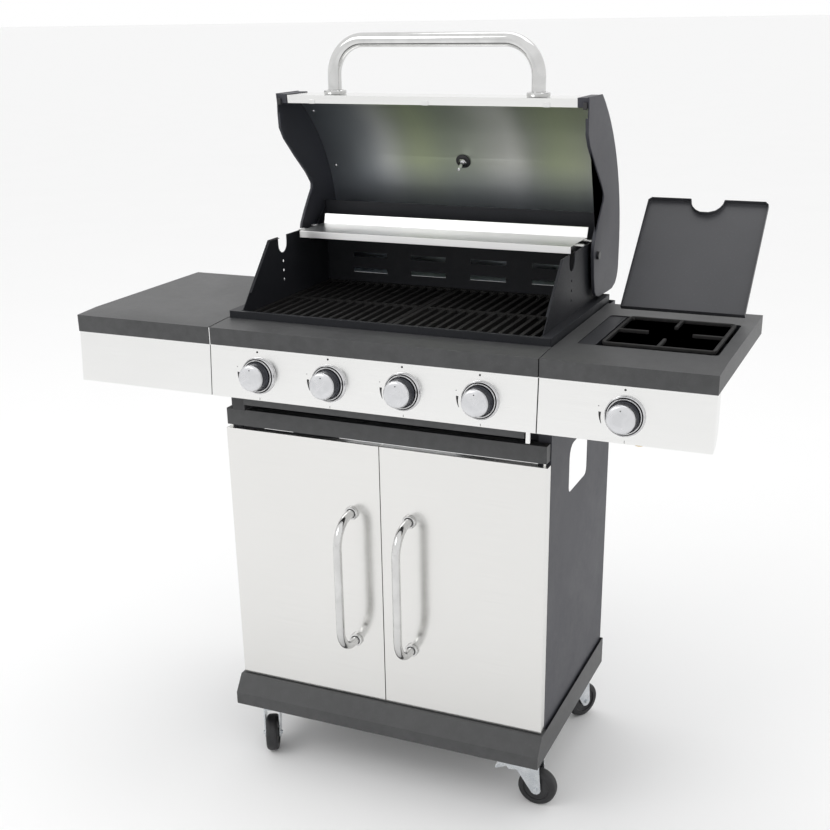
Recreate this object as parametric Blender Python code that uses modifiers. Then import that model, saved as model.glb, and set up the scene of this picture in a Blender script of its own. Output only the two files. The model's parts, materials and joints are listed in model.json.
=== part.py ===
"""Four-burner gas barbecue cart with a side burner, hinged hood, cabinet and casters.

Metres, +Z up, front towards -Y. The origin is on the ground under the middle of the overall box.
"""
import math

import bmesh
import bpy
from mathutils import Matrix, Vector

for item in list(bpy.data.objects):
    bpy.data.objects.remove(item, do_unlink=True)

# ---- driving dimensions -------------------------------------------------------------
gap = 0.0003                # running gap left between pieces that touch
sheet = 0.0012              # folded sheet steel
depth_shift = -0.0075       # brings the middle of the overall depth onto the origin

shelf_half_width = 0.6055   # outer edge of the side shelves
seam_x = 0.3137             # joint between the middle body and a side shelf
seam_gap = 0.0009           # from the joint to the sheet on either side of it
top_z = 0.9102              # front edge of the worktop
crown_z = 0.9132            # flat of the worktop, behind the sloping front band
band_y = -0.178             # where the sloping front band meets the flat
lip_y = -0.2367             # front face of the worktop lip
lip_z = 0.8787              # lower edge of the lip
shelf_back_y = 0.1815

panel_top_y = -0.2352       # front face of the control panel at its top
panel_low_y = -0.2424       # and at its lower edge
panel_low_z = 0.784
knob_z = 0.830
knob_pitch = 0.1424
side_knob_x = 0.461
knob_top = 0.034            # knob height above the panel
knob_travel = 0.003

base_half_width = 0.3244
base_front_y = -0.2234
base_back_y = 0.2233
base_low_z = 0.116
base_top_z = 0.174
side_x = 0.3191             # outer face of a cabinet side
side_front_y = -0.170
side_depth = 0.024          # how far its flanges fold inwards
side_back_y = 0.2213
cabinet_top_z = 0.9115

door_front_y = -0.1925
door_thick = 0.018
door_half_width = 0.320
door_low_z = 0.1755
door_top_z = 0.7055
door_pin_x = 0.3115
door_pin_y = -0.1835
door_pin_r = 0.0025

tub_half_width = 0.2925     # firebox, outside
tub_front_y = -0.160
tub_back_y = 0.200
tub_low_z = 0.797
rim_low_z = 0.908
rim_top_z = 0.926
wing_z = 1.0365             # flat top of the firebox sides
back_top_z = 1.080          # top of the firebox rear wall
burner_z = 0.829

pivot_y = 0.130             # hood hinge axis
pivot_z = 1.013
cap_outer_x = 0.305         # outer face of a hood end cap
cap_inner_x = 0.2835        # inner edge of its flange
cap_wall = 0.0025
hood_handle_y = 0.081
hood_flat_z = 1.297         # hood front face, horizontal while the hood is open

well_x = 0.346              # inner edge of the opening for the side burner
side_lid_pivot_y = 0.1045
side_lid_pivot_z = 0.9290
side_lid_open = math.radians(137)

wheel_r = 0.038
wheel_width = 0.024
caster_x = 0.278
caster_y = 0.160
caster_trail = 0.028        # how far the axle sits behind the swivel
pedal_pin_x = -0.0245       # brake pedal pin, from the swivel axis
pedal_pin_z = 0.078

panel_tilt = math.atan2(panel_top_y - panel_low_y, lip_z - panel_low_z)

# ---- materials ----------------------------------------------------------------------
paints = {
    "dark_paint": ((0.075, 0.075, 0.085), 0.45, 0.4),
    "stainless": ((0.66, 0.65, 0.63), 0.32, 1.0),
    "bright_steel": ((0.80, 0.80, 0.80), 0.12, 1.0),
    "hood_steel": ((0.42, 0.43, 0.43), 0.35, 1.0),
    "knob_metal": ((0.62, 0.62, 0.64), 0.28, 1.0),
    "fire_black": ((0.028, 0.028, 0.032), 0.55, 0.0),
    "cast_iron": ((0.035, 0.033, 0.032), 0.65, 0.3),
    "zinc": ((0.55, 0.57, 0.60), 0.38, 0.9),
    "brass": ((0.62, 0.46, 0.20), 0.35, 0.9),
    "tyre": ((0.020, 0.020, 0.022), 0.6, 0.0),
}


def paint(name):
    found = bpy.data.materials.get(name)
    if found:
        return found
    colour, rough, metal = paints[name]
    made = bpy.data.materials.new(name)
    made.use_nodes = True
    shader = made.node_tree.nodes["Principled BSDF"]
    shader.inputs["Base Color"].default_value = (*colour, 1)
    shader.inputs["Roughness"].default_value = rough
    shader.inputs["Metallic"].default_value = metal
    made.diffuse_color = (*colour, 1)
    return made


# ---- scene layout -------------------------------------------------------------------
parts = bpy.data.collections.new("barbecue")
bpy.context.scene.collection.children.link(parts)
tools = bpy.data.collections.new("cutters")
bpy.context.scene.collection.children.link(tools)

ground = bpy.data.objects.new("ground_point", None)
ground.location = (0, depth_shift, 0)
parts.objects.link(ground)
bpy.context.view_layer.update()


def piece(name, mesh, finish, matrix=None, parent=None):
    """Make a mesh a named piece of the grill."""
    made = bpy.data.objects.new(name, mesh)
    parts.objects.link(made)
    mesh.materials.clear()
    mesh.materials.append(paint(finish))
    made.parent = parent or ground
    made.matrix_local = matrix or Matrix()
    return made


def cutter(mesh, matrix=None):
    """A hidden body that a Boolean takes away or adds."""
    made = bpy.data.objects.new("cutter", mesh)
    tools.objects.link(made)
    made.parent = ground
    made.matrix_local = matrix or Matrix()
    made.hide_render = True
    made.display_type = "WIRE"
    return made


def boolean(target, tool, operation="DIFFERENCE"):
    change = target.modifiers.new(operation.lower(), "BOOLEAN")
    change.operation = operation
    change.object = tool
    change.solver = "EXACT"


def to_mesh(bm):
    mesh = bpy.data.meshes.new("mesh")
    bm.to_mesh(mesh)
    bm.free()
    return mesh


def smooth(mesh, angle=35):
    mesh.shade_smooth()
    mesh.set_sharp_from_angle(angle=math.radians(angle))
    return mesh


# ---- shapes -------------------------------------------------------------------------
def box(low, high, bm=None):
    """A box between two corners, alone or added to bm."""
    low, high = Vector(low), Vector(high)
    out = bm or bmesh.new()
    new = bmesh.ops.create_cube(out, size=1)["verts"]
    bmesh.ops.scale(out, vec=high - low, verts=new)
    bmesh.ops.translate(out, vec=(low + high) / 2, verts=new)
    return out


def rod(radius, start, end, bm=None, segments=20, end_radius=None):
    """A capped cylinder or cone from start to end, alone or added to bm."""
    start, end = Vector(start), Vector(end)
    out = bm or bmesh.new()
    turn = (end - start).to_track_quat("Z", "Y").to_matrix().to_4x4()
    bmesh.ops.create_cone(out, cap_ends=True, segments=segments, radius1=radius,
                          radius2=radius if end_radius is None else end_radius,
                          depth=(end - start).length,
                          matrix=Matrix.Translation((start + end) / 2) @ turn)
    return out


def arc(centre, radius, start, end, steps):
    """Points on a circle, angles in degrees."""
    turns = [math.radians(start + (end - start) * i / steps) for i in range(steps + 1)]
    return [(centre[0] + radius * math.cos(t), centre[1] + radius * math.sin(t)) for t in turns]


def arc_through(first, middle, last, steps):
    """Points on the circle through three points, from the first to the last."""
    (ax, ay), (bx, by), (cx, cy) = first, middle, last
    det = 2 * (ax * (by - cy) + bx * (cy - ay) + cx * (ay - by))
    a2, b2, c2 = ax * ax + ay * ay, bx * bx + by * by, cx * cx + cy * cy
    ux = (a2 * (by - cy) + b2 * (cy - ay) + c2 * (ay - by)) / det
    uy = (a2 * (cx - bx) + b2 * (ax - cx) + c2 * (bx - ax)) / det
    radius = math.hypot(ax - ux, ay - uy)
    begin = math.degrees(math.atan2(ay - uy, ax - ux))
    finish = math.degrees(math.atan2(cy - uy, cx - ux))
    return arc((ux, uy), radius, begin, finish, steps)


def rounded(low, high, radius, steps=3):
    """Outline of a rectangle with round corners."""
    (x0, y0), (x1, y1) = low, high
    corners = [((x1 - radius, y0 + radius), -90), ((x1 - radius, y1 - radius), 0),
               ((x0 + radius, y1 - radius), 90), ((x0 + radius, y0 + radius), 180)]
    return [p for middle, a in corners for p in arc(middle, radius, a, a + 90, steps)]


def curve_mesh(curve):
    """The closed mesh of a curve, its caps welded on."""
    holder = bpy.data.objects.new("curve", curve)
    tools.objects.link(holder)
    bpy.context.view_layer.update()
    ready = holder.evaluated_get(bpy.context.evaluated_depsgraph_get())
    mesh = bpy.data.meshes.new_from_object(ready)
    bpy.data.objects.remove(holder)
    bm = bmesh.new()
    bm.from_mesh(mesh)
    bmesh.ops.remove_doubles(bm, verts=bm.verts, dist=0.00002)
    bmesh.ops.recalc_face_normals(bm, faces=bm.faces)
    bm.to_mesh(mesh)
    bm.free()
    return mesh


def flat(outlines, thickness):
    """A plate in its own XY plane, centred on it; outlines after the first are holes."""
    curve = bpy.data.curves.new("outline", "CURVE")
    curve.dimensions = "2D"
    curve.fill_mode = "BOTH"
    curve.extrude = thickness / 2
    for outline in outlines:
        spline = curve.splines.new("POLY")
        spline.points.add(len(outline) - 1)
        for point, (u, v) in zip(spline.points, outline):
            point.co = (u, v, 0, 1)
        spline.use_cyclic_u = True
    return curve_mesh(curve)


def tube(points, radius, resolution=2):
    """A round bar along a list of points."""
    curve = bpy.data.curves.new("path", "CURVE")
    curve.dimensions = "3D"
    curve.fill_mode = "FULL"
    curve.bevel_depth = radius
    curve.bevel_resolution = resolution
    curve.use_fill_caps = True
    spline = curve.splines.new("POLY")
    spline.points.add(len(points) - 1)
    for point, place in zip(spline.points, points):
        point.co = (*place, 1)
    return smooth(curve_mesh(curve))


def side_view(x):
    """Places an outline drawn in (Y, Z) at a given X, its thickness along X."""
    axes = Matrix(((0, 0, 1, 0), (1, 0, 0, 0), (0, 1, 0, 0), (0, 0, 0, 1)))
    return Matrix.Translation((x, 0, 0)) @ axes


def prism(outline, x0, x1):
    """A solid with a (Y, Z) outline between two X positions, as a bmesh to work on."""
    bm = bmesh.new()
    bm.from_mesh(flat([outline], x1 - x0))
    bm.transform(side_view((x0 + x1) / 2))
    return bm


def drop_faces(bm, test):
    """Delete the faces whose centre and normal pass a test."""
    bm.normal_update()
    out = [f for f in bm.faces if test(f.calc_center_median(), f.normal)]
    bmesh.ops.delete(bm, geom=out, context="FACES")


def shell(obj, thickness=sheet, offset=-1):
    wall = obj.modifiers.new("wall", "SOLIDIFY")
    wall.thickness = thickness
    wall.offset = offset
    wall.use_even_offset = True
    wall.use_quality_normals = True


def turned(name, profile, finish, matrix, steps=24, parent=None):
    """A turned piece: (radius, height) points down the outer side, top to bottom."""
    mesh = bpy.data.meshes.new(name)
    edges = [(i, i + 1) for i in range(len(profile) - 1)]
    mesh.from_pydata([(r, 0, h) for r, h in profile], edges, [])
    made = piece(name, mesh, finish, matrix, parent)
    spin = made.modifiers.new("turn", "SCREW")
    spin.axis = "Z"
    spin.steps = steps
    spin.render_steps = steps
    spin.use_merge_vertices = True
    spin.merge_threshold = 0.00001
    spin.use_smooth_shade = True
    return made


def both_sides():
    """The two hands of a mirrored piece: name ending and sign of X."""
    return (("left", -1), ("right", 1))


def along_x(sign, inner, outer):
    """X positions of a stretch given outwards from the middle, low one first."""
    return sorted((sign * inner, sign * outer))


# ---- cart ---------------------------------------------------------------------------
def base_tray():
    slope_z = 0.1413
    slope_y = -0.200
    return_y = side_front_y - 0.0015
    outline = [(base_front_y, base_low_z), (base_front_y, slope_z), (slope_y, base_top_z),
               (return_y, base_top_z), (base_back_y, base_top_z), (base_back_y, base_low_z)]
    bm = prism(outline, -base_half_width, base_half_width)
    drop_faces(bm, lambda c, n: n.z > 0.9 and c.y > return_y)
    tray = piece("base_tray", to_mesh(bm), "dark_paint")
    shell(tray)
    for _, sign in both_sides():
        x = sign * door_pin_x
        hole = rod(door_pin_r + gap, (x, door_pin_y, base_top_z - 0.02),
                   (x, door_pin_y, base_top_z + 0.02))
        boolean(tray, cutter(to_mesh(hole)))


def side_panels():
    hole = arc((-0.045, 0.622), 0.012, 180, 270, 3) + arc((0.048, 0.622), 0.012, 270, 360, 3)
    hole += arc((0.048, 0.691), 0.012, 0, 90, 3) + arc((-0.033, 0.679), 0.024, 90, 180, 4)
    for hand, sign in both_sides():
        x0, x1 = along_x(sign, side_x - side_depth, side_x)
        bm = box((x0, side_front_y, base_low_z + sheet + gap), (x1, side_back_y, cabinet_top_z))
        drop_faces(bm, lambda c, n: n.x * sign < -0.9 or n.z > 0.9)
        panel = piece("side_panel_" + hand, to_mesh(bm), "dark_paint")
        shell(panel)
        boolean(panel, cutter(flat([hole], 0.02), side_view(sign * side_x)))


def rear_brace():
    low, high = 0.650, 0.700
    x = side_x - sheet - gap
    bm = box((-x, side_back_y - 0.022, low), (x, side_back_y - sheet - gap, high))
    drop_faces(bm, lambda c, n: n.y < -0.9 or abs(n.x) > 0.9)
    shell(piece("rear_brace", to_mesh(bm), "dark_paint"))


def front_rail():
    low, high, half = 0.7124, 0.7442, 0.3175
    back_y = side_front_y - gap
    bm = box((-half, -0.1915, low), (half, back_y, high))
    drop_faces(bm, lambda c, n: n.y > 0.9)
    rail = piece("front_rail", to_mesh(bm), "dark_paint")
    shell(rail)
    for _, sign in both_sides():
        x = sign * door_pin_x
        hole = rod(door_pin_r + gap, (x, door_pin_y, low - 0.01), (x, door_pin_y, low + 0.01))
        boolean(rail, cutter(to_mesh(hole)))


def doors():
    handle_x = 0.059
    foot_low, foot_high = 0.302, 0.568
    reach = 0.065
    bend = 0.058
    for hand, sign in both_sides():
        x0, x1 = along_x(sign, 0.0008, door_half_width)
        pivot = Matrix.Translation((sign * door_pin_x, door_pin_y, 0))
        bm = box((x0, door_front_y, door_low_z), (x1, door_front_y + door_thick, door_top_z))
        drop_faces(bm, lambda c, n: n.y > 0.9)
        bm.transform(pivot.inverted())
        door = piece("door_" + hand, to_mesh(bm), "stainless", pivot)
        shell(door, 0.0010)
        pins = rod(door_pin_r, (0, 0, door_low_z - 0.007), (0, 0, door_low_z + 0.006), segments=12)
        rod(door_pin_r, (0, 0, door_top_z - 0.006), (0, 0, door_top_z + 0.0115), pins, segments=12)
        boolean(door, cutter(to_mesh(pins), pivot), "UNION")
        x = sign * handle_x
        front = door_front_y - gap
        half_reach = reach - bend
        lower = arc((front - half_reach, foot_low + bend), bend, 270, 180, 6)
        upper = arc((front - half_reach, foot_high - bend), bend, 180, 90, 6)
        path = [(x, front, foot_low)] + [(x, y, z) for y, z in lower + upper] + [(x, front, foot_high)]
        mesh = tube(path, 0.0078)
        mesh.transform(pivot.inverted())
        piece("door_handle_" + hand, mesh, "bright_steel", parent=door)


# ---- casters ------------------------------------------------------------------------
def casters():
    turns = {"front_left": -66, "front_right": 0, "rear_left": 115, "rear_right": 60}
    for name, turn in turns.items():
        x = caster_x * (1 if "right" in name else -1)
        y = caster_y * (1 if "rear" in name else -1)
        swivel = Matrix.Translation((x, y, 0)) @ Matrix.Rotation(math.radians(turn), 4, "Z")
        braked = "front" in name
        fork = caster_fork(name, swivel, braked)
        caster_wheel(name, fork)
        if braked:
            brake_pedal(name, fork)


def caster_fork(name, swivel, braked):
    """Top plate, bearing cup and yoke, riveted into one piece."""
    top = base_low_z - gap
    plate = 0.0025
    inner = wheel_width / 2 + 0.002
    outer = inner + plate
    cup_r, flange = 0.021, 0.0225
    crown, nose, heel = 0.0955, 0.034, -0.030 if braked else -0.018
    cup = rod(cup_r, (0, 0, crown - 0.0005), (0, 0, top - 0.004))
    fork = piece("caster_fork_" + name, smooth(to_mesh(cup)), "zinc", swivel)
    added = [to_mesh(box((-flange, -flange, top - 0.005), (flange, flange, top))),
             to_mesh(box((heel, -outer, crown - 0.003), (nose, outer, crown + 0.001)))]
    cheek = [(nose, crown)] + arc((caster_trail, wheel_r), 0.011, 20, -160, 6)
    if braked:
        cheek += [(-0.010, 0.074)] + arc((pedal_pin_x, pedal_pin_z), 0.006, 300, 180, 4)
    cheek += [(heel, crown)]
    for side in (-1, 1):
        mesh = flat([cheek], plate)
        mesh.transform(Matrix.Rotation(math.pi / 2, 4, "X"))
        mesh.transform(Matrix.Translation((0, side * (inner + plate / 2), 0)))
        added.append(mesh)
    pins = rod(0.004, (caster_trail, -outer - 0.0035, wheel_r),
               (caster_trail, outer + 0.0035, wheel_r), segments=12)
    if braked:
        rod(0.0024, (pedal_pin_x, -inner - 0.001, pedal_pin_z),
            (pedal_pin_x, inner + 0.001, pedal_pin_z), pins, 12)
    added.append(to_mesh(pins))
    for mesh in added:
        boolean(fork, cutter(mesh, swivel), "UNION")
    return fork


def caster_wheel(name, fork):
    """Wheel with a dished web between hub and tyre, bored for the axle."""
    half = wheel_width / 2
    bore, hub, web, tyre, rim = 0.0043, 0.010, 0.024, 0.026, wheel_r - 0.004
    face = [(bore, half + 0.001), (hub, half + 0.001), (hub + 0.001, half - 0.003),
            (web, half - 0.004), (tyre, half), (rim, half), (wheel_r, half - 0.006)]
    profile = face + [(r, -h) for r, h in face[::-1]] + face[:1]
    axle = Matrix.Translation((caster_trail, 0, wheel_r)) @ Matrix.Rotation(-math.pi / 2, 4, "X")
    turned("caster_wheel_" + name, profile, "tyre", axle, 24, fork)


def brake_pedal(name, fork):
    """A foot pedal between the yoke's front ears, pressed down on the tyre."""
    outline = [(-0.031, -0.014), (-0.032, -0.010), (-0.010, 0.0045)]
    outline += arc((0, 0), 0.0055, 120, -60, 6) + [(-0.006, -0.004)]
    hole = arc((0, 0), 0.0029, 360, 36, 9)
    mesh = flat([outline, hole], 0.022)
    mesh.transform(Matrix.Rotation(math.pi / 2, 4, "X"))
    place = Matrix.Translation((pedal_pin_x, 0, pedal_pin_z))
    piece("brake_pedal_" + name, mesh, "zinc", place, fork)


# ---- firebox ------------------------------------------------------------------------
def firebox():
    outlet = 0.085
    bm = box((-tub_half_width, tub_front_y, tub_low_z), (tub_half_width, tub_back_y, back_top_z))
    drop_faces(bm, lambda c, n: n.z > 0.9)
    bm.normal_update()
    bottom = [f for f in bm.faces if f.normal.z < -0.9]
    bmesh.ops.inset_region(bm, faces=bottom, thickness=0.110)
    for vert in bottom[0].verts:
        vert.co.x = math.copysign(outlet, vert.co.x)
        vert.co.z -= 0.018
    bmesh.ops.delete(bm, geom=bottom, context="FACES")
    box_body = piece("firebox", to_mesh(bm), "fire_black")
    shell(box_body, 0.0015)
    # front is cut down to the rim, the sides slope back to a flat with a spit notch
    notch = arc((0.010, 1.0215), 0.0170, 180, 360, 8)
    above = [(-0.2, rim_top_z), (-0.149, rim_top_z), (-0.045, wing_z), (notch[0][0], wing_z)]
    above += notch + [(notch[-1][0], wing_z), (0.155, wing_z), (0.1925, back_top_z - 0.012)]
    above += [(0.1925, 1.2), (-0.2, 1.2)]
    boolean(box_body, cutter(flat([above], 0.8), side_view(0)))
    # rolled rim around the mouth
    ring = flat([rounded((-0.312, -0.167), (0.312, 0.205), 0.002, 1),
                 rounded((-0.2915, -0.1592), (0.2915, 0.1991), 0.001, 1)], rim_top_z - rim_low_z)
    boolean(box_body, cutter(ring, Matrix.Translation((0, 0, (rim_top_z + rim_low_z) / 2))), "UNION")
    cuts = bmesh.new()
    vent_half, vent_high = 0.038, 0.0045
    for z in (0.940, 0.972):
        for x in (-0.194, -0.0645, 0.0645, 0.194):
            box((x - vent_half, tub_back_y - 0.01, z - vent_high),
                (x + vent_half, tub_back_y + 0.01, z + vent_high), cuts)
    for x in burner_places():
        rod(0.0155, (x, tub_front_y - 0.02, burner_z), (x, tub_front_y + 0.02, burner_z), cuts)
    rod(0.0043, (-0.30, pivot_y, pivot_z), (0.30, pivot_y, pivot_z), cuts, 16)
    for z in (0.952, 0.970, 0.988):
        rod(0.003, (-0.30, 0.010, z), (0.30, 0.010, z), cuts, 10)
    boolean(box_body, cutter(to_mesh(cuts)))


def burner_places():
    return [knob_pitch * step for step in (-1.5, -0.5, 0.5, 1.5)]


def burners():
    front, back, outer, bore = -0.2035, 0.190, 0.014, 0.0115
    for number, x in enumerate(burner_places(), 1):
        facing = Matrix.Translation((x, 0, burner_z)) @ Matrix.Rotation(-math.pi / 2, 4, "X")
        profile = [(0, back), (outer, back), (outer, front + 0.012), (outer + 0.001, front + 0.010),
                   (outer + 0.001, front), (bore, front), (bore, back - 0.003), (0, back - 0.003)]
        turned("burner_tube_%d" % number, profile, "stainless", facing, 16)
        spread, rise, low = 0.045, 0.024, 0.858
        vee = [(-spread, low), (0, low + rise), (spread, low)]
        vee += [(spread - 0.0022, low), (0, low + rise - 0.0014), (0.0022 - spread, low)]
        length = tub_back_y - tub_front_y - 0.0036
        mesh = flat([vee], length)
        mesh.transform(Matrix.Rotation(math.pi / 2, 4, "X"))
        middle = (tub_back_y + tub_front_y) / 2
        piece("flame_tamer_%d" % number, mesh, "stainless", Matrix.Translation((x, middle, 0)))


def grates():
    low_y, high_y = -0.1575, 0.1975
    inner_x, outer_x = 0.0012, 0.2902
    rim, bar, slots = 0.010, 0.0075, 14
    thick, top = 0.009, 0.917
    pitch = (outer_x - inner_x - 2 * rim + bar) / slots
    middle = (low_y + high_y) / 2
    for hand, sign in both_sides():
        x0, x1 = along_x(sign, inner_x, outer_x)
        outlines = [rounded((x0, low_y), (x1, high_y), 0.004, 1)]
        for i in range(slots):
            left = x0 + rim + i * pitch
            for y0, y1 in ((low_y + rim, middle - 0.005), (middle + 0.005, high_y - rim)):
                right = left + pitch - bar
                outlines.append([(left, y0), (right, y0), (right, y1), (left, y1)])
        place = Matrix.Translation((0, 0, top - thick / 2))
        piece("cooking_grate_" + hand, flat(outlines, thick), "cast_iron", place)


def warming_rack():
    half, front, back, top, low = 0.2765, 0.053, 0.155, 1.040, 1.027
    bm = box((-half, front, low), (half, back, top))
    drop_faces(bm, lambda c, n: n.z < -0.9)
    rack = piece("warming_rack", to_mesh(bm), "bright_steel")
    shell(rack)
    for _, sign in both_sides():
        for y in (0.084, 0.137):
            x0, x1 = along_x(sign, half - 0.004, tub_half_width)
            hook = box((x0, y - 0.006, wing_z + gap), (x1, y + 0.006, top - 0.0004))
            boolean(rack, cutter(to_mesh(hook)), "UNION")
    # rear lip, leaning back and up
    lip = [(back - sheet, low + 0.003), (back, low + 0.003), (back + 0.010, top + 0.018),
           (back + 0.010 - sheet, top + 0.018)]
    boolean(rack, cutter(to_mesh(prism(lip, -half, half))), "UNION")


def grease_tray():
    bm = box((-0.115, -0.130, 0.742), (0.115, 0.150, 0.768))
    drop_faces(bm, lambda c, n: n.z > 0.9)
    shell(piece("grease_tray", to_mesh(bm), "zinc"), 0.001)


# ---- gas train and controls ---------------------------------------------------------
def panel_axis(x):
    """Frame on the control panel behind a knob: local +Z points out of the panel."""
    y = panel_low_y + (knob_z - panel_low_z) * math.tan(panel_tilt)
    return Matrix.Translation((x, y, knob_z)) @ Matrix.Rotation(math.pi / 2 - panel_tilt, 4, "X")


def knob_places():
    return list(zip(("1", "2", "3", "4", "side"), burner_places() + [side_knob_x]))


def gas_manifold():
    behind = 0.022
    height = panel_axis(0) @ Vector((0, 0, -behind))
    mesh = to_mesh(rod(0.009, (-0.262, height.y, height.z), (0.492, height.y, height.z), segments=14))
    manifold = piece("gas_manifold", smooth(mesh), "brass")
    for _, x in knob_places():
        body = to_mesh(rod(0.0115, (0, 0, -0.031), (0, 0, -0.008), segments=12))
        boolean(manifold, cutter(body, panel_axis(x)), "UNION")
    # inlet elbow for the gas hose, pointing down behind the side shelf panel
    for radius, high, low, sides in ((0.010, 0.004, -0.034, 6), (0.0075, -0.030, -0.052, 14)):
        inlet = rod(radius, (0.482, height.y, height.z + low), (0.482, height.y, height.z + high),
                    segments=sides)
        boolean(manifold, cutter(to_mesh(inlet)), "UNION")
    for _, x in knob_places():
        bore = to_mesh(rod(0.0043, (0, 0, -0.024), (0, 0, 0.010), segments=14))
        boolean(manifold, cutter(bore, panel_axis(x)))


def front_panel(name, x0, x1, ends, knobs):
    """Folded stainless front: face, bottom return and the ends named in ends."""
    turn = 0.012
    outline = [(panel_low_y + turn, panel_low_z), (panel_low_y, panel_low_z), (panel_top_y, lip_z - gap),
               (panel_top_y + turn, lip_z - gap)]
    if "wing" in ends:
        wing = 0.028
        radius = 0.034
        outline = [(panel_low_y + 0.006, panel_low_z), (panel_low_y, panel_low_z),
                   (panel_top_y, lip_z - gap), (panel_top_y + wing, lip_z - gap)]
        centre = (panel_top_y + wing - radius, panel_low_z + radius)
        outline += arc(centre, radius, 0, -60, 5)
    bm = prism(outline, x0, x1)
    keep = [v for v, side in ((-1, "low"), (1, "high")) if side in ends]
    drop_faces(bm, lambda c, n: (abs(n.x) > 0.9 and round(n.x) not in keep)
               or (abs(n.x) < 0.1 and (n.y > 0.3 or n.z > 0.9)))
    panel = piece(name, to_mesh(bm), "stainless")
    shell(panel, 0.001)
    for x in knobs:
        hole = to_mesh(rod(0.0055, (0, 0, -0.01), (0, 0, 0.01), segments=16))
        boolean(panel, cutter(hole, panel_axis(x)))


def controls():
    front_panel("control_panel", -seam_x + seam_gap, seam_x - seam_gap, ("low", "high"), burner_places())
    front_panel("left_shelf_front", -shelf_half_width + 0.001, -seam_x - seam_gap, ("low", "wing"), [])
    front_panel("right_shelf_front", seam_x + seam_gap, shelf_half_width - 0.001, ("high", "wing"),
                [side_knob_x])
    for label, x in knob_places():
        stem = rod(0.0040, (0, 0, -0.0195), (0, 0, knob_top - 0.0065), segments=14)
        stem = piece("valve_stem_" + label, smooth(to_mesh(stem)), "brass", panel_axis(x))
        back, bore, deep = 0.0048, 0.0043, knob_top - 0.006
        profile = [(0, knob_top), (0.0195, knob_top), (0.0228, knob_top - 0.0022),
                   (0.0240, knob_top - 0.006), (0.0240, 0.0135), (0.0262, 0.0115), (0.0262, back),
                   (bore, back), (bore, deep), (0, deep)]
        turned("knob_" + label, profile, "knob_metal", Matrix(), 24, stem)


# ---- worktop and shelves ------------------------------------------------------------
def worktop():
    outline = [(lip_y, lip_z), (lip_y, top_z), (band_y, crown_z)]
    bm = prism(outline + [(-0.1675, crown_z), (-0.1675, lip_z)],
               -seam_x + seam_gap, seam_x - seam_gap)
    drop_faces(bm, lambda c, n: abs(n.x) > 0.9 or n.z < -0.9 or n.y > 0.9)
    shell(piece("top_rail", to_mesh(bm), "dark_paint"))
    for hand, sign in both_sides():
        x0, x1 = along_x(sign, seam_x + seam_gap, shelf_half_width)
        bm = prism(outline + [(shelf_back_y, crown_z), (shelf_back_y, lip_z)], x0, x1)
        drop_faces(bm, lambda c, n: n.x * sign < -0.9 or n.z < -0.9)
        shelf = piece(hand + "_shelf_top", to_mesh(bm), "dark_paint")
        shell(shelf)
        # the rear lip is notched around the cabinet side
        n0, n1 = along_x(sign, seam_x - 0.01, side_x + gap)
        notch = box((n0, shelf_back_y - 0.01, lip_z - 0.01), (n1, shelf_back_y + 0.01, cabinet_top_z + gap))
        boolean(shelf, cutter(to_mesh(notch)))
        if hand == "right":
            well = flat([rounded((well_x, -0.131), (0.583, 0.090), 0.006)], 0.1)
            boolean(shelf, cutter(well, Matrix.Translation((0, 0, crown_z))))


def side_burner():
    under = crown_z - sheet - gap - 0.0006
    bm = box((0.376, -0.133, under - 0.034), (0.585, 0.092, under))
    drop_faces(bm, lambda c, n: n.z > 0.9)
    rim_edges = [e for e in bm.edges if e.is_boundary]
    flange = bmesh.ops.extrude_edge_only(bm, edges=rim_edges)["geom"]
    for vert in [v for v in flange if isinstance(v, bmesh.types.BMVert)]:
        vert.co.x = 0.595 if vert.co.x > 0.4805 else well_x - 0.006
        vert.co.y += math.copysign(0.010, vert.co.y)
    bmesh.ops.recalc_face_normals(bm, faces=bm.faces)
    pan = piece("side_burner_pan", to_mesh(bm), "fire_black")
    shell(pan, 0.0010, 0)
    centre = (0.4805, -0.020)
    hole = rod(0.018, (*centre, under - 0.06), (*centre, under - 0.02))
    boolean(pan, cutter(to_mesh(hole)))
    place = Matrix.Translation((*centre, under - 0.034))
    profile = [(0, 0.024), (0.026, 0.022), (0.031, 0.018), (0.031, 0.015), (0.026, 0.0145), (0.027, 0.008),
               (0.033, 0.006), (0.033, 0.002), (0.015, 0.0015), (0.014, -0.030), (0.010, -0.040),
               (0.007, -0.040), (0.007, -0.030), (0, -0.030)]
    turned("side_burner_head", profile, "cast_iron", place, 20)
    # pot support: a square frame with four fingers reaching in, standing in the pan
    half_x, half_y, bar, reach, half = 0.096, 0.101, 0.006, 0.052, 0.003
    inner = []
    for corner in range(4):
        sx, sy = ((1, -1), (1, 1), (-1, 1), (-1, -1))[corner]
        x, y = sx * (half_x - bar), sy * (half_y - bar)
        steps = [(sx * half, y), (x, y), (x, sy * half)]
        inside_x, inside_y = x - sx * reach, y - sy * reach
        before = [(sx * half, inside_y)] if sx * sy < 0 else [(inside_x, sy * half)]
        after = [(inside_x, sy * half)] if sx * sy < 0 else [(sx * half, inside_y)]
        turn = steps if sx * sy < 0 else steps[::-1]
        inner += before + turn + after
    mesh = flat([rounded((-half_x, -half_y), (half_x, half_y), 0.010, 2), inner], 0.006)
    top = crown_z + 0.004
    place = Matrix.Translation((*centre, top - 0.003))
    grate = piece("side_burner_grate", mesh, "cast_iron", place)
    legs = bmesh.new()
    foot = under - 0.034 + 0.0005 + gap - top + 0.003
    for sx in (-1, 1):
        for sy in (-1, 1):
            x, y = sx * (half_x - 0.007), sy * (half_y - 0.007)
            box((x - 0.003, y - 0.003, foot), (x + 0.003, y + 0.003, 0.001), legs)
    boolean(grate, cutter(to_mesh(legs), place), "UNION")


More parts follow.
